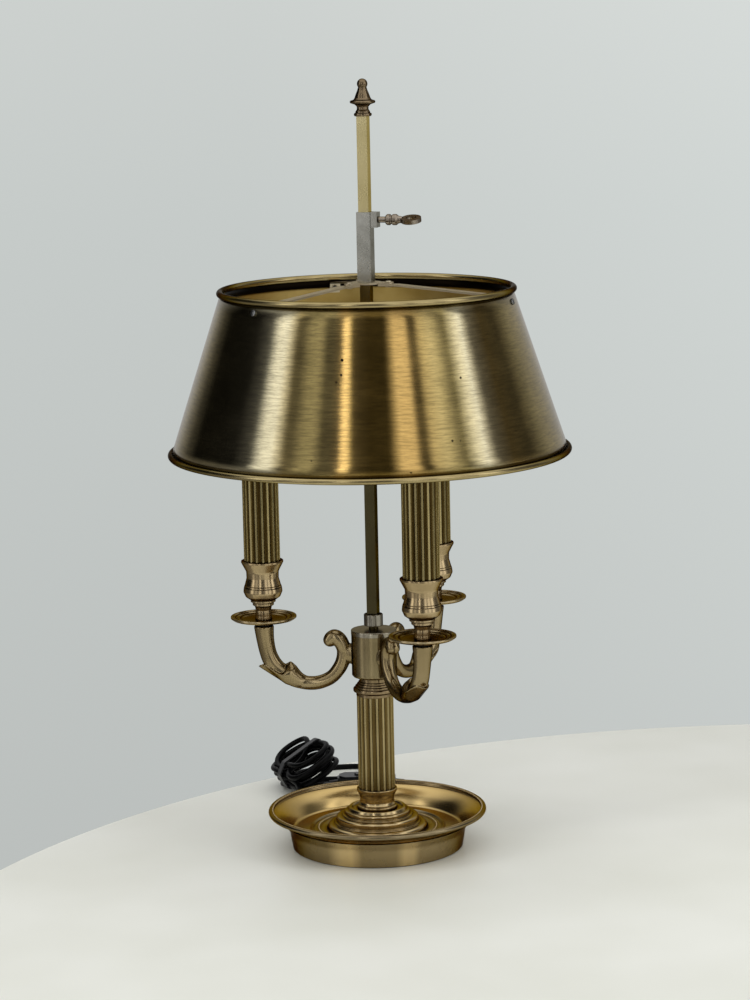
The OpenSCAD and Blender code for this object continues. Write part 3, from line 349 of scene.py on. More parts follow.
def closestStrands(points, step, apart=24, look=12):
    # between stretches that are more than 24 mm of flex apart
    tree = strandTree(points)
    return min(away for i, p in enumerate(points) for q, j, away in tree.find_range(p, look)
               if abs(i - j) * step > apart)


def evenRun(points, step):
    out = [points[0]]
    left = step
    for a, b in zip(points, points[1:]):
        gap = (b - a).length
        while gap >= left and gap > 0:
            a = a + (b - a) * (left / gap)
            out.append(a)
            gap = (b - a).length
            left = step
        left -= gap
    if (out[-1] - points[-1]).length < 0.4 * step:
        out.pop()
    return out + [points[-1]]


def relaxed(points, plan):
    points = evenRun(points, plan["step"])
    for _ in range(plan["relaxing"]):
        points = smoothed(points, 0.5, plan["held"])
    return points


def headingsOf(path):
    # unit ways along a path, in its first two measures
    return [Vector((b[0] - a[0], b[1] - a[1])).normalized()
            for a, b in zip(path[:1] + path[:-1], path[1:] + path[-1:])]


def newCord(name, points, material, body):
    curve = bpy.data.curves.new(name, "CURVE")
    curve.dimensions = "3D"
    curve.bevel_depth = cordPlan["thick"] / 2 * mm
    curve.bevel_resolution = 5
    curve.use_fill_caps = True
    spline = curve.splines.new("POLY")
    spline.points.add(len(points) - 1)
    for point, p in zip(spline.points, points):
        point.co = (p[0] * mm, p[1] * mm, p[2] * mm, 1)
    spline.use_smooth = True
    curve.materials.append(material)
    piece = place(name, curve)
    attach(piece, body)
    return piece


def runLength(points):
    return sum((b - a).length for a, b in zip(points, points[1:])) * mm


# PVC flex, extruded: near-black, glossy, with a soft skin that breaks the highlight
def blackFlex():
    material, tree, shader = newMaterial("extruded black PVC flex", {
        "Roughness": 0.42, "IOR": 1.53, "Base Color": linear("#030303"), "Specular IOR Level": 0.07})
    coord = addNode(tree, "TexCoord").outputs["Object"]
    skin = addNode(tree, "TexNoise", {"Scale": 420, "Detail": 3}, {"Vector": coord})    # pores 2.4 mm apart
    handled = addNode(tree, "TexNoise", {"Scale": 38, "Detail": 2}, {"Vector": coord})    # patches of 26 mm
    dull = addNode(tree, "ValToRGB", {"stops": [(0.35, 0.3), (0.7, 0.5)]}, {"Fac": handled.outputs["Fac"]})
    stops = [(0.3, "#020202"), (0.75, "#060607")]
    grey = addNode(tree, "ValToRGB", {"stops": stops}, {"Fac": handled.outputs["Fac"]})
    bump = addNode(tree, "Bump", {"Strength": 0.12, "Distance": 0.0004}, {"Height": skin.outputs["Fac"]})
    connect(tree, shader, {"Base Color": grey.outputs["Color"], "Roughness": dull.outputs["Color"],
                           "Normal": bump.outputs["Normal"]})
    return material


flexFinish = blackFlex()

near, mid, far = cordPlan["switchReach"]
plugNear, plugMid, plugFar = cordPlan["plugReach"]
outOfBase = [Vector(p) for p in cordPlan["fromBase"]]
toSwitch = smoothRun([cordPlan["bushing"]] + cordPlan["toSwitch"] + [inSwitch(far), inSwitch(mid)], 4)
switchWay = relaxed(outOfBase + toSwitch + [inSwitch(near)], cordPlan)
hankWay = windHank(hankPlan)
lead = smoothRun([inSwitch(-mid), inSwitch(-far)] + cordPlan["toHank"] + [hankWay[0]], 4)[:-1]
tail = smoothRun([hankWay[-1]] + cordPlan["toPlug"] + [inPlug(-plugFar), inPlug(-plugMid)], 4)[1:]
plugWay = relaxed([inSwitch(-near)] + lead + hankWay + tail + [inPlug(-plugNear)], cordPlan)

cordToSwitch = newCord("lead_to_switch", switchWay, flexFinish, "lamp")
cordToPlug = newCord("lead_to_plug", plugWay, flexFinish, "lamp")
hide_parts("cord_run_a")
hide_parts("cord_run_b", "cord_hank", "cord_tail")
print("cords: %.3f m to the switch, %.3f m on to the plug" % (runLength(switchWay), runLength(plugWay)))
print("strands %.1f mm apart at the closest" % closestStrands(plugWay, cordPlan["step"]))

# Room, table and light

roomPlan = {
    # windows and the dark walls between them: degrees round the lamp from straight in front, and brightness
    "bands": [(-180, 0.55), (-150, 0.5), (-130, 0.1), (-120, 0.01), (-85, 0.01), (-72, 0.1), (-65, 1.8),
              (-57, 1.8), (-50, 0.15), (-45, 0.2), (-37, 0.9), (-32, 0.9), (-26, 0.15), (-15, 0.15),
              (-12.5, 3), (-9.5, 3), (-7, 0.15), (0, 0.12), (18, 0.12), (24, 1.4), (34, 1.4), (37, 0.15),
              (41, 0.15), (45, 1.5), (55, 1.4), (65, 0.3), (74, 2), (79, 2), (87, 0.2), (115, 0.1),
              (135, 0.5), (180, 0.55)],
    # pale grey paint, with painted light: lighter towards the ceiling and towards the right
    "wall": [(0.0, "#babebc"), (0.5, "#c6cbc9"), (1.0, "#d9dcd9")],
    "daylight": {"From Min": -0.12, "From Max": 0.12, "To Min": 1.0, "To Max": 1.17},
    "floor": (0.3, 0.291, 0.276, 1), "ceiling": (1.1, 1.1, 1.1, 1),
    # heights between which one gives way to the next, as the sine of the angle over the horizon
    "floorFade": (-0.4, 0.05), "ceilingFade": (0.56, 0.82), "wallFade": (-0.3, 0.15),
}


def makeRoom(plan):
    world = bpy.data.worlds.new("room")
    bpy.context.scene.world = world
    world.use_nodes = True
    tree = world.node_tree
    tree.nodes.clear()
    coord = addNode(tree, "TexCoord").outputs["Generated"]
    way = addNode(tree, "SeparateXYZ", None, {"Vector": coord})
    fades = {}
    for key in ("floorFade", "ceilingFade", "wallFade"):
        ends = {"From Min": plan[key][0], "From Max": plan[key][1]}
        fades[key] = addNode(tree, "MapRange", ends, {"Value": way.outputs["Z"]}).outputs["Result"]
    bands = roundRamp(tree, turnAngle(tree, coord), plan["bands"])
    low = addNode(tree, "Mix", {**blend, 6: plan["floor"]}, {0: fades["floorFade"], 7: bands})
    high = addNode(tree, "Mix", {**blend, 7: plan["ceiling"]}, {0: fades["ceilingFade"], 6: low.outputs[2]})
    room = addNode(tree, "Background", {"Strength": 1.0}, {"Color": high.outputs[2]})
    paint = addNode(tree, "ValToRGB", {"stops": plan["wall"]}, {"Fac": fades["wallFade"]})
    daylight = addNode(tree, "MapRange", plan["daylight"], {"Value": way.outputs["X"]})
    wall = addNode(tree, "Background", None,
                   {"Color": paint.outputs["Color"], "Strength": daylight.outputs["Result"]})
    seen = addNode(tree, "LightPath")
    both = addNode(tree, "MixShader", None, {
        0: seen.outputs["Is Camera Ray"], 1: room.outputs["Background"], 2: wall.outputs["Background"]})
    addNode(tree, "OutputWorld", None, {"Surface": both.outputs["Shader"]})


tablePlan = {"radius": 786, "at": (419.4, -343.2), "thick": 22, "edge": 4, "ease": 1.2, "sides": 256}


# Laminate tabletop, pressed and satin: cream white, faint cloudy sheen
def tableLaminate():
    material, tree, shader = newMaterial("pressed cream laminate", {
        "Roughness": 0.42, "Base Color": linear("#d9dad1"), "IOR": 1.5})
    coord = addNode(tree, "TexCoord").outputs["Object"]
    cloud = addNode(tree, "TexNoise", {"Scale": 6, "Detail": 2}, {"Vector": coord})    # clouds of 170 mm
    stops = [(0.3, "#d6d7cd"), (0.7, "#dfe0d8")]
    tone = addNode(tree, "ValToRGB", {"stops": stops}, {"Fac": cloud.outputs["Fac"]})
    connect(tree, shader, {"Base Color": tone.outputs["Color"]})
    return material


def makeTable(plan):
    r, t, edge, ease = plan["radius"], plan["thick"], plan["edge"], plan["ease"]
    profile = [(1, 0), (r / 2, 0), (r - edge, 0), (r - ease, -ease), (r, -edge), (r, edge - t),
               (r - edge, -t), (1, -t)]
    verts, faces = lathe(profile, plan["sides"])
    table = newPiece("table", verts, faces, tableLaminate())
    table.location = (plan["at"][0] * mm, plan["at"][1] * mm, 0)


lightAim = (0, 0, 0.3)
lightPlan = [
    # name, place, size, power
    ("skylight", (-0.2, -0.2, 2.3), (2.4, 2.0), 11.5),
    ("window", (-1.9, -0.9, 1.35), (0.5, 1.3), 9),
    ("far_window", (1.7, -0.9, 1.3), (0.5, 1.3), 9),
]


def makeLights(plan):
    for name, where, size, power in plan:
        data = bpy.data.lights.new(name, "AREA")
        data.shape = "RECTANGLE"
        data.size, data.size_y = size
        data.energy = power
        lamp = place(name, data)
        lamp.location = where
        lamp.rotation_euler = (Vector(where) - Vector(lightAim)).to_track_quat("Z", "Y").to_euler()
        lamp.visible_glossy = False    # the metal mirrors the room's own windows


bpy.context.scene.view_settings.view_transform = "Standard"
makeRoom(roomPlan)
makeTable(tablePlan)
makeLights(lightPlan)
print("room, table and lights made")

# Metal finishes

candleRing = 95.2
candleCentres = [(candleRing * cos(radians(a)), candleRing * sin(radians(a))) for a in (180, 300, 60)]
finishes = {}


def lathePosition(tree, coord, centres):
    # distance from the nearest turning axis, and height: marks left by a lathe follow these
    split = addNode(tree, "SeparateXYZ", None, {"Vector": coord})
    flat = addNode(tree, "CombineXYZ", None, {"X": split.outputs["X"], "Y": split.outputs["Y"]})
    nearest = None
    for x, y in centres:
        away = addNode(tree, "VectorMath", {"operation": "DISTANCE", 1: (x * mm, y * mm, 0)},
                       {0: flat.outputs["Vector"]}).outputs["Value"]
        if nearest is not None:
            away = addNode(tree, "Math", {"operation": "MINIMUM"}, {0: nearest, 1: away}).outputs["Value"]
        nearest = away
    return nearest, split.outputs["Z"]


def agedMetal(name, plan):
    material, tree, shader = newMaterial(name, {
        "Metallic": 1.0, "Roughness": plan["roughness"], "Base Color": linear(plan["tones"][1]),
        "Specular Tint": linear(plan.get("edge", "#8a7a60"))})
    coord = addNode(tree, "TexCoord").outputs["Object"]
    # cloudy patina
    cloud = addNode(tree, "TexNoise", {"Scale": 1000 / plan["cloud"], "Detail": 3, "Roughness": 0.55},
                    {"Vector": coord})
    stops = [(0.28, plan["tones"][0]), (0.5, plan["tones"][1]), (0.74, plan["tones"][2])]
    tone = addNode(tree, "ValToRGB", {"stops": stops}, {"Fac": cloud.outputs["Fac"]})
    colour = tone.outputs["Color"]
    radius, height = lathePosition(tree, coord, plan.get("centres", [(0, 0)]))
    # tones that change with the distance from the turning axis and with the height, in mm; the height tones
    # are painted shade, darker lower down
    for key, reach in (("rings", radius), ("heights", height)):
        if key in plan:
            low, high = plan[key][0][0], plan[key][-1][0]
            share = addNode(tree, "MapRange", {"From Min": low * mm, "From Max": high * mm}, {"Value": reach})
            stops = [((at - low) / (high - low), shade) for at, shade in plan[key]]
            band = addNode(tree, "ValToRGB", {"stops": stops}, {"Fac": share.outputs["Result"]})
            colour = addNode(tree, "Mix", multiply, {6: colour, 7: band.outputs["Color"]}).outputs[2]
    # and round the lamp, in degrees from straight in front: painted highlight streaks where the metal would
    # mirror bright windows
    if "around" in plan:
        paintedHighlightStreaks = roundRamp(tree, turnAngle(tree, coord), plan["around"])
        colour = addNode(tree, "Mix", multiply, {6: colour, 7: paintedHighlightStreaks}).outputs[2]
    # dark patina left in the hollows
    if "hollow" in plan:
        shade = addNode(tree, "AmbientOcclusion", {"samples": 12, "Distance": plan["hollow"] * mm})
        stops = [(plan["deep"], 0.0), (plan["clear"], 1.0)]
        clear = addNode(tree, "ValToRGB", {"stops": stops}, {"Fac": shade.outputs["AO"]})
        dark = {**blend, 6: linear(plan["dark"])}
        colour = addNode(tree, "Mix", dark, {0: clear.outputs["Color"], 7: colour}).outputs[2]
    # handling and polish change the gloss
    worn = addNode(tree, "TexNoise", {"Scale": 1000 / (plan["cloud"] * 0.6), "Detail": 3}, {"Vector": coord})
    gloss = addNode(tree, "MapRange", {
        "From Min": 0.3, "From Max": 0.7, "To Min": plan["roughness"] - plan["uneven"],
        "To Max": plan["roughness"] + plan["uneven"]}, {"Value": worn.outputs["Fac"]})
    # surface: lathe or brush marks, or the skin of a casting
    over = coord
    if "lines" in plan:
        over = addNode(tree, "CombineXYZ", None, {"X": radius, "Y": height}).outputs["Vector"]
    size = plan["lines"] if "lines" in plan else plan["grain"]
    marks = addNode(tree, "TexNoise", {"Scale": 1000 / size, "Detail": 2}, {"Vector": over})
    bump = addNode(tree, "Bump", {"Strength": plan["bump"], "Distance": 0.0003},
                   {"Height": marks.outputs["Fac"]})
    connect(tree, shader, {"Base Color": colour, "Roughness": gloss.outputs["Result"],
                           "Normal": bump.outputs["Normal"]})
    return material


# Spun brass, satin lacquered: warm gold wall, browner floor, dark handled rim
finishes["tray"] = agedMetal("spun satin brass", {
    "tones": ("#e6e4e0", "#f4f2ee", "#ffffff"), "edge": "#b8a070", "dark": "#2e2414", "roughness": 0.22,
    "uneven": 0.02, "cloud": 60, "hollow": 1.6, "deep": 0.25, "clear": 0.75, "lines": 1.2, "bump": 0.015,
    "rings": [(40, "#9a8e74"), (49, "#a29679"), (51.2, "#8a7f66"), (53, "#a29679"), (57.4, "#9a8d70"),
              (60, "#b0a07c"), (71.5, "#b3a277"), (74, "#cdb27a"), (86, "#d2b77d"), (90, "#bda473"),
              (91, "#94866a"), (96, "#8a7c60")]})
# Same brass on the skirt, rubbed duller by hands and cloth, with highlight streaks painted into its colour
# round the lamp
finishes["skirt"] = agedMetal("spun brass skirt", {
    "tones": ("#d0b682", "#dcc28e", "#e8ce9a"), "edge": "#6e5c3c", "roughness": 0.27, "uneven": 0.03,
    "cloud": 50, "lines": 1.2, "bump": 0.02,
    "around": [(-180, 0.45), (-30, 0.42), (-20, 0.9), (-13, 1), (-6, 0.42), (0, 0.4), (16, 0.42), (22, 0.8),
               (28, 0.8), (33, 0.45), (180, 0.45)]})
# Milled beads on the rim and the floor, rubbed bright
finishes["beads"] = agedMetal("milled brass beading", {
    "tones": ("#b5a07a", "#c4ae86", "#d0bb94"), "edge": "#7a6a4c", "dark": "#2e2414", "roughness": 0.24,
    "uneven": 0.02, "cloud": 20, "hollow": 0.9, "deep": 0.35, "clear": 0.9, "grain": 2, "bump": 0.01})
# Turned brass, bronzed and relieved: near-black grooves, brown hollows, bright rounds
turnedBronze = {"dark": "#1f150c", "roughness": 0.19, "uneven": 0.02, "cloud": 40, "hollow": 2.6,
                "deep": 0.4, "clear": 0.95, "lines": 1.0, "bump": 0.012}
finishes["bronzed"] = agedMetal("turned bronzed brass", {
    **turnedBronze, "tones": ("#ab976f", "#bba67c", "#c9b48a"), "edge": "#8e7b58"})
finishes["capital"] = agedMetal("turned bronzed capital", {
    **turnedBronze, "tones": ("#77664a", "#857355", "#938062"), "edge": "#6a5a42"})
finishes["cups"] = agedMetal("turned bronzed candle cup", {
    **turnedBronze, "tones": ("#a08c68", "#ae9974", "#baa681"), "edge": "#50422c", "roughness": 0.21,
    "cloud": 34, "hollow": 2.4, "centres": candleCentres})
finishes["finial"] = agedMetal("turned bronzed finial", {
    **turnedBronze, "tones": ("#6f5f49", "#7d6d55", "#8c7b62"), "edge": "#4a3c2c", "dark": "#1d1209",
    "cloud": 20, "hollow": 1.6, "lines": 0.8})
finishes["pans"] = agedMetal("stamped dark bronzed brass", {
    "tones": ("#a8997c", "#b6a789", "#c2b497"), "edge": "#8e8066", "dark": "#1a130b", "roughness": 0.22,
    "uneven": 0.03, "cloud": 26, "hollow": 1.2, "deep": 0.35, "clear": 0.95, "lines": 0.8, "bump": 0.015,
    "centres": candleCentres,
    "rings": [(10, "#bdb6a8"), (19, "#cfc8ba"), (20.2, "#5d564a"), (21.2, "#e8e2d4"), (23.4, "#d8d2c4"),
              (24.2, "#5d564a"), (25.2, "#e8e2d4"), (30, "#f4efe4")]})
# Fluted brass tube, patinated: pale olive ridges, dark flutes
finishes["flutedColumn"] = agedMetal("fluted patinated brass column", {
    "tones": ("#95875f", "#a2936b", "#ae9f78"), "edge": "#5e5238", "dark": "#2a2012", "roughness": 0.25,
    "uneven": 0.03, "cloud": 40, "hollow": 1.1, "deep": 0.25, "clear": 0.75, "grain": 4, "bump": 0.015,
    "rings": [(14.4, "#85785e"), (15.2, "#b0a488"), (15.7, "#f4efe0"), (16, "#ffffff")]})
finishes["flutedCandle"] = agedMetal("fluted patinated brass candle", {
    "tones": ("#9c8e62", "#ab9d70", "#b8aa7d"), "edge": "#4a4028", "dark": "#1a1307", "roughness": 0.26,
    "uneven": 0.03, "cloud": 36, "hollow": 1.1, "deep": 0.25, "clear": 0.8, "grain": 4, "bump": 0.015,
    "centres": candleCentres,
    "rings": [(14.2, "#54472e"), (14.9, "#8a7c5c"), (15.4, "#e8e2d0"), (15.8, "#ffffff")]})
finishes["drum"] = agedMetal("turned olive brass drum", {
    "tones": ("#796c4e", "#877959", "#958766"), "edge": "#5c5038", "dark": "#1d160c", "roughness": 0.25,
    "uneven": 0.03, "cloud": 30, "hollow": 2.4, "deep": 0.3, "clear": 0.85, "lines": 0.9, "bump": 0.02})
finishes["lid"] = agedMetal("turned nickel-brass lid", {
    "tones": ("#8b8474", "#999282", "#a8a190"), "edge": "#a8a08e", "dark": "#1d1a14", "roughness": 0.24,
    "uneven": 0.03, "cloud": 18, "hollow": 1.6, "deep": 0.3, "clear": 0.85, "lines": 0.9, "bump": 0.03})
# Sand-cast brass, filed and waxed: tan, darker in the creases
finishes["casting"] = agedMetal("sand-cast waxed brass", {
    "tones": ("#877756", "#948361", "#a08f6d"), "edge": "#3a2e1a", "dark": "#35281a", "roughness": 0.22,
    "uneven": 0.02, "cloud": 40, "hollow": 2, "deep": 0.3, "clear": 0.8, "grain": 7, "bump": 0.03})
# Drawn square brass: pale where the slider rubs it, and darker lower down, painted shade and painted
# reflection of the dark under the lamp shade
finishes["rod"] = agedMetal("drawn square brass", {
    "tones": ("#d2c28c", "#e3d39c", "#efdfaa"), "edge": "#c8b988", "roughness": 0.25, "uneven": 0.04,
    "cloud": 40, "grain": 4, "bump": 0.03,
    "heights": [(200, "#5c5b56"), (340, "#66655f"), (480, "#8a8474"), (560, "#ffffff"), (640, "#ffffff")]})
# Nickel-plated steel tube, plating mottled with age
finishes["nickel"] = agedMetal("aged nickel plate", {
    "tones": ("#a6a59c", "#b8b7ae", "#cac9c0"), "edge": "#a8a79e", "roughness": 0.25, "uneven": 0.05,
    "cloud": 14, "grain": 3, "bump": 0.05})
finishes["collar"] = agedMetal("turned nickel-brass collar", {
    "tones": ("#7d786c", "#8b867a", "#999487"), "edge": "#4a463c", "dark": "#1d1a14", "roughness": 0.22,
    "uneven": 0.03, "cloud": 12, "hollow": 1.6, "deep": 0.35, "clear": 0.9, "lines": 0.9, "bump": 0.03})
finishes["steel"] = agedMetal("zinc-plated steel", {
    "tones": ("#7b7c7c", "#8c8d8d", "#9e9f9e"), "edge": "#8a8a8a", "roughness": 0.3, "uneven": 0.04,
    "cloud": 10, "grain": 1.2, "bump": 0.04})
finishes["strap"] = agedMetal("rolled pale brass strip", {
    "tones": ("#c2b69c", "#cec2a8", "#d8cdb4"), "edge": "#a39a84", "roughness": 0.4, "uneven": 0.04,
    "cloud": 20, "grain": 3, "bump": 0.03})
finishes["key"] = agedMetal("cast bronzed key", {
    "tones": ("#8b8072", "#998e80", "#a79c8e"), "edge": "#574c42", "dark": "#1d140d", "roughness": 0.23,
    "uneven": 0.03, "cloud": 12, "hollow": 1.4, "deep": 0.4, "clear": 0.95, "grain": 3, "bump": 0.02})
finishes["iron"] = agedMetal("cast iron", {
    "tones": ("#2b2a29", "#3a3937", "#4a4845"), "roughness": 0.6, "uneven": 0.08, "cloud": 9, "grain": 1.1,
    "bump": 0.4})
finishes["darkRing"] = agedMetal("blackened steel ring", {
    "tones": ("#151311", "#1f1c19", "#2b2723"), "edge": "#2b2723", "roughness": 0.33, "uneven": 0.05,
    "cloud": 8, "grain": 1.2, "bump": 0.06})
finishes["contact"] = agedMetal("stamped brass contact", {
    "tones": ("#b8985a", "#c8aa6a", "#d8bd80"), "roughness": 0.24, "uneven": 0.04, "cloud": 6, "grain": 0.8,
    "bump": 0.05})


def plainStuff(name, colours, roughness, ior, grain, bump, extra=None):
    material, tree, shader = newMaterial(name, {"Roughness": roughness, "IOR": ior, **(extra or {})})
    coord = addNode(tree, "TexCoord").outputs["Object"]
    mottle = addNode(tree, "TexNoise", {"Scale": 1000 / (grain * 9), "Detail": 3}, {"Vector": coord})
    stops = [(0.32, colours[0]), (0.7, colours[1])]
    tone = addNode(tree, "ValToRGB", {"stops": stops}, {"Fac": mottle.outputs["Fac"]})
    fine = addNode(tree, "TexNoise", {"Scale": 1000 / grain, "Detail": 3}, {"Vector": coord})
    lift = addNode(tree, "Bump", {"Strength": bump, "Distance": 0.0004}, {"Height": fine.outputs["Fac"]})
    connect(tree, shader, {"Base Color": tone.outputs["Color"], "Normal": lift.outputs["Normal"]})
    return material


# Wool felt, pressed: no shine, short loose fibres
finishes["felt"] = plainStuff("pressed wool felt", ("#191613", "#2b2620"), 0.95, 1.5, 0.9, 0.8,
                              {"Sheen Weight": 0.4})
# ABS and PVC, moulded: satin black with a fine spark-eroded grain
finishes["plastic"] = plainStuff("moulded black ABS", ("#0e0e0f", "#171718"), 0.36, 1.53, 0.5, 0.12)
finishes["rubber"] = plainStuff("moulded black PVC", ("#0b0b0c", "#151516"), 0.42, 1.52, 0.6, 0.12)
# Phenolic and polyamide, moulded: slightly yellowed ivory and white, satin
finishes["holder"] = plainStuff("moulded ivory phenolic", ("#cfc8b4", "#ddd7c6"), 0.4, 1.55, 0.7, 0.08)
finishes["whitePlastic"] = plainStuff("moulded white polyamide", ("#d4d2ca", "#e2e0d8"), 0.38, 1.53, 0.7,
                                      0.08)
# Silicone, extruded: dull off-white
finishes["leadSheath"] = plainStuff("silicone lead sheath", ("#a9a498", "#c2bdb0"), 0.5, 1.43, 0.6, 0.1)
print("finishes mixed")

# Strap drawn round the middle of the hank, close to its outermost strands
strapPlan = {"width": 10, "clear": 2.8, "thick": 1.3, "sides": 96}


def makeStrap(plan, way):
    frame = hankFrame(hankPlan)
    inside = [frame.inverted() @ p for p in way]
    cuts = [a.lerp(b, a.x / (a.x - b.x)) for a, b in zip(inside, inside[1:]) if a.x * b.x < 0]
    rings = []
    edge = plan["width"] / 2
    for x, out in ((-edge, 0), (-edge, plan["thick"]), (edge, plan["thick"]), (edge, 0)):
        ring = []
        for k in range(plan["sides"]):
            a = 2 * pi * k / plan["sides"]
            far = max(cuts, key=lambda p: p.y * cos(a) + p.z * sin(a))
            reach = plan["clear"] + out
            ring.append(frame @ Vector((x, far.y + reach * cos(a), far.z + reach * sin(a))) * mm)
        rings.append(ring)
    faces = ringFaces(len(rings), plan["sides"], closed=True)
    strap = newPiece("hank_strap", [v for ring in rings for v in ring], faces, finishes["rubber"], "lamp",
                     smooth=False)
    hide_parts("cord_tie")


makeStrap(strapPlan, hankWay)

# Shade

shadePlan = {
    "footZ": 348.7, "footR": 170, "topR": 124.6, "height": 137, "sheet": 0.7, "inset": 1,
    "topRoll": 5.6, "footRoll": 5,
    # the band under the top roll inside is a painted shadow
    "shadowBand": (475.2, 476.8),    # inside, the height at which the band under the top roll starts
    "sides": 240, "levels": 12, "rollSides": 28,
    "tones": {"brown": "#826934", "bronze": "#a88c52", "olive": "#a89660", "straw": "#bba56c",
              "gold": "#cda966", "champagne": "#ccc2a0"},
    # tones round the shade, partly where the antiquing was rubbed back and partly painted reflections of the
    # room's bright windows and dark walls: degrees round the shade from straight in front, to the right
    "patinaAndReflections": [(-180, "bronze"), (-60, "olive"), (-35, "champagne"), (-25, "champagne"), (-20, "straw"),
               (-14, "olive"), (-7, "straw"), (-4, "gold"), (0, "bronze"), (5, "brown"), (10, "brown"),
               (14, "gold"), (18, "gold"), (21, "bronze"), (27, "straw"), (33, "olive"), (40, "champagne"),
               (50, "bronze"), (65, "olive"), (180, "bronze")],
}


# Rolled brass sheet, antiqued then brushed round: long streaks from rim to rim, partly painted into its
# colour as reflections, hair-fine lines round
def brushedShade(plan):
    material, tree, shader = newMaterial("antiqued brushed brass sheet", {
        "Metallic": 1.0, "Roughness": 0.16, "Anisotropic": 0.9, "Anisotropic Rotation": 0.25})
    coord = addNode(tree, "TexCoord").outputs["Object"]
    height = addNode(tree, "SeparateXYZ", None, {"Vector": coord}).outputs["Z"]
    angle = turnAngle(tree, coord)
    # the tones round the shade are partly patina and partly painted reflections of the room
    patinaAndReflections = roundRamp(tree, angle, [(a, plan["tones"][tone]) for a, tone in plan["patinaAndReflections"]])
    # clouds about 70 mm round the shade and 40 mm high
    flat = addNode(tree, "CombineXYZ", None, {"X": angle, "Y": height})
    wide = addNode(tree, "Mapping", {"Scale": (2.2, 26, 1)}, {"Vector": flat.outputs["Vector"]})
    cloud = addNode(tree, "TexNoise", {"Scale": 1, "Detail": 4, "Roughness": 0.62},
                    {"Vector": wide.outputs["Vector"]})
    dim = addNode(tree, "ValToRGB", {"stops": [(0.32, 0.74), (0.68, 1.0)]}, {"Fac": cloud.outputs["Fac"]})
    colour = addNode(tree, "Mix", multiply, {6: patinaAndReflections, 7: dim.outputs["Color"]})
    # brush lines: 1.8 mm apart, coarser than the real 0.1 mm so that they show
    hair = addNode(tree, "Mapping", {"Scale": (9, 560, 1)}, {"Vector": flat.outputs["Vector"]})
    lines = addNode(tree, "TexNoise", {"Scale": 1, "Detail": 3, "Roughness": 0.75},
                    {"Vector": hair.outputs["Vector"]})
    fade = addNode(tree, "ValToRGB", {"stops": [(0.36, 0.66), (0.6, 1.0)]}, {"Fac": lines.outputs["Fac"]})
    lined = addNode(tree, "Mix", multiply, {6: colour.outputs[2], 7: fade.outputs["Color"]})
    # small pits in the lacquer: cells of 12 mm, and patches of 25 mm that have pits at all
    pit = addNode(tree, "TexVoronoi", {"Scale": 85}, {"Vector": coord})
    rare = addNode(tree, "TexNoise", {"Scale": 40, "Detail": 1}, {"Vector": coord})
    few = addNode(tree, "Math", {"operation": "MULTIPLY_ADD", 1: 0.5, 2: -0.25}, {0: rare.outputs["Fac"]})
    hit = addNode(tree, "Math", {"operation": "LESS_THAN"},
                  {0: pit.outputs["Distance"], 1: few.outputs["Value"]})
    spotted = addNode(tree, "Mix", {**blend, 7: linear("#1c140a")},
                      {0: hit.outputs["Value"], 6: lined.outputs[2]})
    # painted shadow: the sheet is darkened in the last millimetres beside each roll, where the rolls shade it
    low, high = plan["footZ"] * mm, (plan["footZ"] + plan["height"]) * mm
    reach = addNode(tree, "MapRange", {"From Min": low, "From Max": high}, {"Value": height})
    stops = [(0.02, 0.5), (0.05, 0.95), (0.9, 1.0), (0.95, 0.62), (0.985, 0.3)]
    rollShadow = addNode(tree, "ValToRGB", {"stops": stops}, {"Fac": reach.outputs["Result"]})
    rollShadowed = addNode(tree, "Mix", multiply, {6: spotted.outputs[2], 7: rollShadow.outputs["Color"]})
    gloss = addNode(tree, "MapRange", {"From Min": 0.3, "From Max": 0.7, "To Min": 0.13, "To Max": 0.19},
                    {"Value": cloud.outputs["Fac"]})
    bump = addNode(tree, "Bump", {"Strength": 0.12, "Distance": 0.0003}, {"Height": lines.outputs["Fac"]})
    grain = addNode(tree, "Tangent", {"direction_type": "RADIAL", "axis": "Z"})
    connect(tree, shader, {"Base Color": rollShadowed.outputs[2], "Roughness": gloss.outputs["Result"],
                           "Normal": bump.outputs["Normal"], "Tangent": grain.outputs["Tangent"]})
    return material


# Same sheet inside, unpatinated: lighter yellow, with a near-black band painted under the top roll as the
# roll's shadow
def shadeInside(plan):
    material, tree, shader = newMaterial("bare brass sheet, inner face", {
        "Metallic": 1.0, "Roughness": 0.36, "Base Color": linear("#a98d52")})
    coord = addNode(tree, "TexCoord").outputs["Object"]
    height = addNode(tree, "SeparateXYZ", None, {"Vector": coord}).outputs["Z"]
    cloud = addNode(tree, "TexNoise", {"Scale": 22, "Detail": 4}, {"Vector": coord})    # clouds of 45 mm
    stops = [(0.3, "#94793f"), (0.7, "#bda468")]
    tone = addNode(tree, "ValToRGB", {"stops": stops}, {"Fac": cloud.outputs["Fac"]})
    # painted shadow: the sheet turns near-black just under the top roll
    low, high = (z * mm for z in plan["shadowBand"])
    band = addNode(tree, "MapRange", {"From Min": low, "From Max": high}, {"Value": height})
    mix = addNode(tree, "Mix", {**blend, 7: linear("#120d07")},
                  {0: band.outputs["Result"], 6: tone.outputs["Color"]})
    # drawing lines 1.4 mm apart, coarser than real so that they show
    spread = addNode(tree, "Mapping", {"Scale": (3, 3, 700)}, {"Vector": coord})
    lines = addNode(tree, "TexNoise", {"Scale": 1, "Detail": 2}, {"Vector": spread.outputs["Vector"]})
    bump = addNode(tree, "Bump", {"Strength": 0.1, "Distance": 0.0003}, {"Height": lines.outputs["Fac"]})
    connect(tree, shader, {"Base Color": mix.outputs[2], "Normal": bump.outputs["Normal"]})
    return material


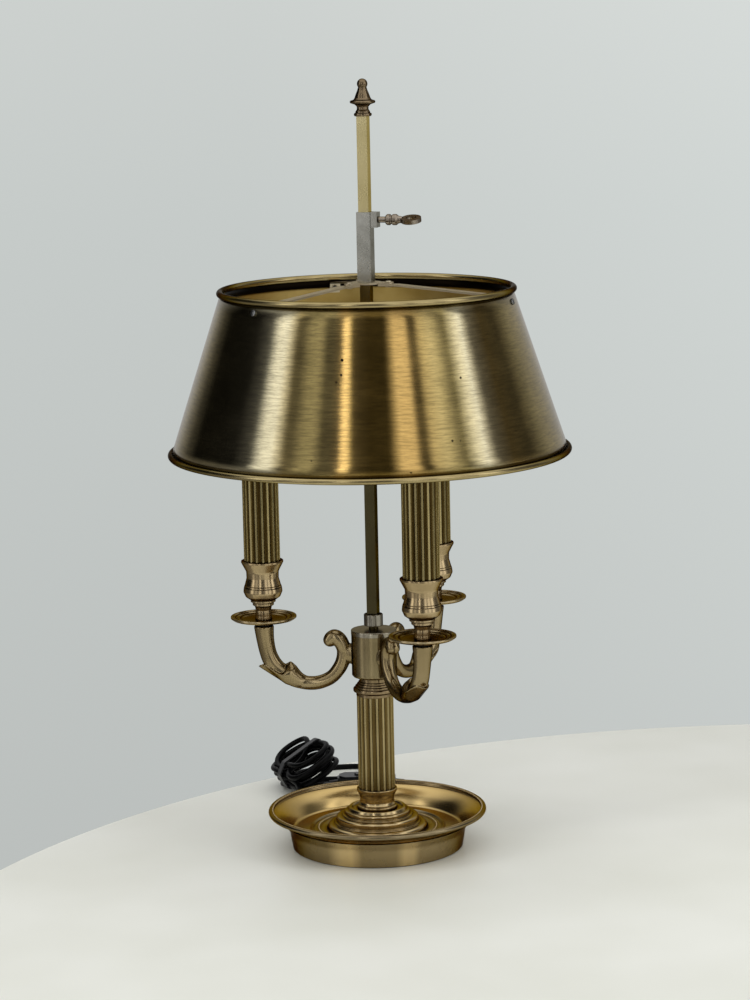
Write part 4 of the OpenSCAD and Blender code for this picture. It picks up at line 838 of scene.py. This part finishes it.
finishes["shade"] = brushedShade(shadePlan)
finishes["shadeInside"] = shadeInside(shadePlan)
finishes["shadeRim"] = agedMetal("rolled brass rim", {
    "tones": ("#94845c", "#a39369", "#b3a378"), "edge": "#4a4028", "dark": "#17110a", "roughness": 0.22,
    "uneven": 0.02, "cloud": 40, "hollow": 2.5, "deep": 0.35, "clear": 0.8, "grain": 8, "bump": 0.01})


def makeShade(plan):
    sides, steps = plan["sides"], plan["levels"]
    slope = (plan["footR"] - plan["topR"]) / plan["height"]
    half = plan["sheet"] / 2 * sqrt(1 + slope * slope)
    top = plan["footZ"] + plan["height"]

    def wall(z):
        return plan["footR"] - plan["inset"] - slope * (z - plan["footZ"])

    levels = [plan["footZ"] + plan["height"] * k / steps for k in range(steps + 1)]
    outer = [(wall(z) + half, z) for z in levels]
    inner = [(wall(z) - half, z) for z in reversed(levels)]
    verts, faces = lathe(outer + inner, sides, closed=True)
    skin = newPiece("shade_skin", verts, faces, [finishes["shade"], finishes["shadeInside"]], "shade_carrier")
    for index, face in enumerate(skin.data.polygons):
        face.material_index = 1 if index // sides > steps else 0
        if index // sides in (steps, 2 * steps + 1):    # the sheet's cut edges
            face.use_smooth = False
    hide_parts("shade")
    # the sheet is rolled round a wire at each edge
    turns = [2 * pi * k / plan["rollSides"] for k in range(plan["rollSides"])]
    for name, r, z, thick in (("shade_top_roll", plan["topR"], top, plan["topRoll"]),
                              ("shade_foot_roll", plan["footR"], plan["footZ"], plan["footRoll"])):
        ring = [(r + thick / 2 * cos(a), z + thick / 2 * sin(a)) for a in turns]
        verts, faces = lathe(ring, sides, closed=True)
        roll = newPiece(name, verts, faces, finishes["shadeRim"], "shade_carrier")


makeShade(shadePlan)
print("shade made")

# Scroll arms, cast in one piece with a leaf sheath where the upright leaves the stem
armPlan = {
    "rise": 151, "turns": (180, 300, 60), "sides": 48, "voxel": 0.55, "soften": 9,
    # distance from the lamp's axis, height over the drum's foot, radius
    "stem": [(38.4, 31.0, 5.6), (37.2, 33.2, 6.1), (34.0, 34.6, 6.5), (30.4, 32.4, 6.6), (27.6, 28, 6.4),
             (26.2, 22, 6.1), (27, 14.5, 6.2), (30.2, 7.4, 6.1), (36.4, -0.2, 5.9), (44, -4.4, 5.9),
             (52.4, -6.3, 6), (62, -5.6, 6.1), (70.6, -2.2, 6.5), (78.2, 2.4, 6.9), (85, 7.8, 7.2),
             (89.6, 14.2, 7.4), (92.4, 22, 7.3), (94.3, 33, 7.7), (95.2, 44.6, 8.7)],
    "curl": (38.0, 31.8, 6.0),
    # the sheath: rings on the stem, then its lip from the inner tip round to the outer tip
    "sheathRings": [(59.2, -6.0, 5.6), (64.8, -4.4, 6.8), (70.2, -1.2, 8.2), (74.3, 2.1, 9.3)],
    "lip": [(72.7, 0, 13.2), (73.9, 3.1, 11.2), (75.4, 6.0, 8.0), (76.9, 8.5, 4.8), (79.4, 9.9, 2.9),
            (84, 10.1, 4.7), (89.8, 8.6, 8.2), (95.6, 5.2, 10.6), (101.6, 0, 9.0)],
    "lipWall": 0.72,       # the lip's inner edge, as a share of its outline
    "root": (18.9, 10.2, 27.5, 6.4),   # the foot that is brazed to the drum: from, radius, to, radius
    "rootHeight": 19.7, "rootFlat": 0.72, "rootTaper": 0.6, "rootRows": (0, 0.1, 0.25, 0.5, 0.75, 1),
}


def ringRound(centre, along, r, sides):
    # a ring square to the arm's plane
    return [Vector((centre[0] - along[1] * r * cos(t), -r * sin(t), centre[1] + along[0] * r * cos(t)))
            for t in (2 * pi * k / sides for k in range(sides))]


def skinRings(rings):
    # closed skin over rings of points, with a cap at each end
    sides = len(rings[0])
    verts = [v for ring in rings for v in ring]
    faces = [(a, d, c, b) for a, b, c, d in ringFaces(len(rings), sides)]
    verts += [sum(rings[0], Vector()) / sides, sum(rings[-1], Vector()) / sides]
    first, last = len(verts) - 2, len(verts) - 1
    top = (len(rings) - 1) * sides
    faces += [(first, k, (k + 1) % sides) for k in range(sides)]
    faces += [(last, top + (k + 1) % sides, top + k) for k in range(sides)]
    return verts, faces


def ball(centre, r, sides=32, rows=16):
    rings = []
    for tilt in (pi * (k + 0.5) / rows for k in range(rows)):
        rings.append([Vector((centre[0] + r * sin(tilt) * cos(t), r * sin(tilt) * sin(t),
                              centre[1] + r * cos(tilt)))
                      for t in (2 * pi * n / sides for n in range(sides))])
    return skinRings(rings)


def aroundLip(lip, sides):
    # the half outline mirrored and rounded off into one closed ring
    whole = [Vector((p[0], -p[1], p[2])) for p in lip] + [Vector(p) for p in lip[-2:0:-1]]
    count = len(whole)
    ring = []
    for k in range(sides):
        at = k / sides * count
        i = int(at)
        ring.append(catmull(*(whole[(i + n) % count] for n in (-1, 0, 1, 2)), at - i))
    return ring


def castArm(plan):
    sides = plan["sides"]
    stem = smoothRun(plan["stem"], 5)
    rings = [ringRound(p, along, p[2], sides) for p, along in zip(stem, headingsOf(stem))]
    rings[-1] = ringRound(stem[-1], (0, 1), stem[-1][2], sides)    # the stem ends upright
    parts = [skinRings(rings), ball(plan["curl"][:2], plan["curl"][2])]
    # the sheath opens from the stem to its lip and turns in again
    path = plan["sheathRings"]
    sheath = [ringRound(p, along, p[2], sides) for p, along in zip(path, headingsOf(path))]
    lip = aroundLip(plan["lip"], sides)
    sheath.append(lip)
    middle = sum(lip, Vector()) / sides
    inner = [middle + (p - middle) * plan["lipWall"] for p in lip]
    sheath.append(inner)
    grown = []
    for i, (ring, after) in enumerate(zip(sheath, sheath[1:])):
        before, beyond = sheath[max(i - 1, 0)], sheath[min(i + 2, len(sheath) - 1)]
        for n in range(4):
            grown.append([catmull(*q, n / 4) if i < len(sheath) - 2 else q[1].lerp(q[2], n / 4)
                          for q in zip(before, ring, after, beyond)])
    grown.append(sheath[-1])
    parts.append(skinRings(grown))
    x0, r0, x1, r1 = plan["root"]
    root = []
    for t in plan["rootRows"]:
        r = r0 + (r1 - r0) * t ** plan["rootTaper"]
        root.append([Vector((x0 + (x1 - x0) * t, -r * cos(a) * plan["rootFlat"],
                             plan["rootHeight"] + r * sin(a)))
                     for a in (2 * pi * k / sides for k in range(sides))])
    parts.append(skinRings(root))
    verts, faces = [], []
    for partVerts, partFaces in parts:
        faces += [tuple(v + len(verts) for v in f) for f in partFaces]
        verts += partVerts
    mesh = bpy.data.meshes.new("arm_casting")
    mesh.from_pydata([tuple(v * mm) for v in verts], [], faces)
    mesh.update()
    rough = place("arm_casting", mesh)
    melt = rough.modifiers.new("melt", "REMESH")
    melt.mode = "VOXEL"
    melt.voxel_size = plan["voxel"] * mm
    file = rough.modifiers.new("file", "SMOOTH")
    file.factor = 0.5
    file.iterations = plan["soften"]
    bpy.context.view_layer.update()
    done = bpy.data.meshes.new_from_object(rough.evaluated_get(bpy.context.evaluated_depsgraph_get()))
    bpy.data.objects.remove(rough)
    return done


castMesh = castArm(armPlan)
for number, turn in enumerate(armPlan["turns"], 1):
    mesh = castMesh.copy()
    mesh.transform(Matrix.Rotation(radians(turn), 4, "Z") @ Matrix.Translation((0, 0, armPlan["rise"] * mm)))
    for face in mesh.polygons:
        face.use_smooth = True
    mesh.materials.clear()
    mesh.materials.append(finishes["casting"])
    arm = place("scroll_arm_%d" % number, mesh)
    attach(arm, "lamp")
    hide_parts("arm_%d" % number)
print("arms cast:", len(castMesh.polygons), "faces each")

# Tray, spun from one sheet: a floor that rises to the plinth, a trumpet wall and a rolled rim
trayPlan = {
    "sheet": 1.2, "under": 12.8, "sides": 288,
    "floor": [(42, 17.5), (48.6, 17.2), (49.5, 17.1), (49.8, 16.8), (50.1, 17.1), (52.4, 17.1), (52.7, 16.8),
              (53.0, 17.1), (55.5, 17.0), (55.9, 16.6), (56.3, 17.1), (56.8, 17.9), (57.4, 18.2),
              (58.0, 17.9), (58.5, 17.1), (58.9, 16.5), (59.4, 16.5), (65, 16.0), (71.4, 15.4)],
    "foot": (72.5, 14), "rim": (92.8, 32),
    # shares of the way from foot to rim, out and up
    "wall": [(0, 0), (0.1, 0.17), (0.2, 0.36), (0.35, 0.58), (0.55, 0.77), (0.78, 0.91), (1.01, 1)],
    "roll": 2.1, "rollSweep": range(196, -101, -12),
    "start": (72.4, 15.5),                # where the floor turns up into the wall
    "clearIn": 2.3, "clearOut": 0.8,      # the wall stops this far short of the rim, inside and outside
    "neck": (2.5, 0.9),                   # last point inside before the roll: in from the rim, and down
}


def makeTray(plan):
    foot, rim = plan["foot"], plan["rim"]
    wall = smoothRun([(foot[0] + a * (rim[0] - foot[0]), foot[1] + b * (rim[1] - foot[1]), 0)
                      for a, b in plan["wall"]], 4)
    outside = [(p.x + plan["sheet"] * along.y, p.y - plan["sheet"] * along.x)
               for p, along in zip(wall, headingsOf(wall))]
    outside = [p for p in outside if p[0] < rim[0] - plan["clearOut"]]
    inside = [(p.x, p.y) for p in wall if p.y > plan["start"][1] + 0.1 and p.x < rim[0] - plan["clearIn"]]
    neck = (rim[0] - plan["neck"][0], rim[1] - plan["neck"][1])
    roll = [(rim[0] + plan["roll"] * cos(radians(a)), rim[1] + plan["roll"] * sin(radians(a)))
            for a in plan["rollSweep"]]
    profile = plan["floor"] + [plan["start"]] + inside + [neck] + roll + outside[::-1]
    profile += [(foot[0] + 0.2, plan["under"]), (plan["floor"][0][0], plan["under"])]
    verts, faces = lathe(profile, plan["sides"], closed=True)
    tray = newPiece("tray_spinning", verts, [f[::-1] for f in faces], finishes["tray"], "lamp")
    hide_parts("base_tray")


makeTray(trayPlan)

# Beads: a milled row on the tray's rim and a slightly finer one on its floor
beadPlan = [
    # name, ring radius, height, bead radius, pitch
    ("rim_beading", 91.2, 33.5, 0.85, 1.75),
    ("floor_beading", 51.3, 17.0, 0.8, 1.75),
]


def beadRow(name, ringR, z, r, pitch, finish):
    count = int(2 * pi * ringR / pitch)
    verts, faces = [], []
    rows, around = 3, 8
    for bead in range(count):
        a = 2 * pi * bead / count
        start = len(verts)
        for i in range(rows + 1):
            lift = pi / 2 * i / (rows + 0.4) - 0.35    # from just under the bead's middle to a small flat top
            for k in range(around):
                t = 2 * pi * k / around
                out, side = r * cos(lift) * cos(t), r * cos(lift) * sin(t)
                verts.append(((ringR + out) * cos(a) - side * sin(a), (ringR + out) * sin(a) + side * cos(a),
                              z + r * sin(lift)))
        faces += [tuple(start + v for v in face) for face in ringFaces(rows + 1, around)]
        faces.append(tuple(start + rows * around + k for k in range(around)))
    row = newPiece(name, [(x * mm, y * mm, h * mm) for x, y, h in verts], faces, finish, "lamp")


for name, ringR, z, r, pitch in beadPlan:
    beadRow(name, ringR, z, r, pitch, finishes["beads"])
print("beads milled")

# Finishes on the solids

finishOf = {
    "felt": "felt_pad",
    "iron": "base_weight",
    "skirt": "base_skirt",
    "tray": "base_tray",
    "bronzed": "base_plinth column_socket",
    "flutedColumn": "column",
    "capital": "capital",
    "drum": "hub_drum",
    "lid": "hub_lid",
    "steel": "stem_pipe stem_washer stem_coupler candle_pipes shade_wires spider_screws spider_nuts "
             "plug_pins",
    "contact": "stem_nuts lamp_contacts",
    "whitePlastic": "wire_junction",
    "collar": "rod_collar",
    "rod": "square_rod",
    "finial": "finial",
    "casting": "arm_1 arm_2 arm_3",
    "pans": "bobeche_1 bobeche_2 bobeche_3",
    "cups": "candle_cup_1 candle_cup_2 candle_cup_3",
    "flutedCandle": "candle_sleeve_1 candle_sleeve_2 candle_sleeve_3",
    "holder": "lampholder_1 lampholder_2 lampholder_3",
    "darkRing": "arm_collars",
    "leadSheath": "arm_leads base_lead",
    "shade": "shade",
    "strap": "spider_plate spider_straps spider_rivets",
    "nickel": "slider_sleeve clamp_boss",
    "key": "clamp_stud key",
    "rubber": "cord_bushing cord_tie plug_body cord_run_a cord_run_b cord_tail cord_hank",
    "plastic": "switch_base switch_cover switch_rocker",
}
for finish, names in finishOf.items():
    for name in names.split():
        for slot in nodes[name].material_slots:
            slot.material = finishes[finish]
print("finishes laid on", len(nodes), "nodes")
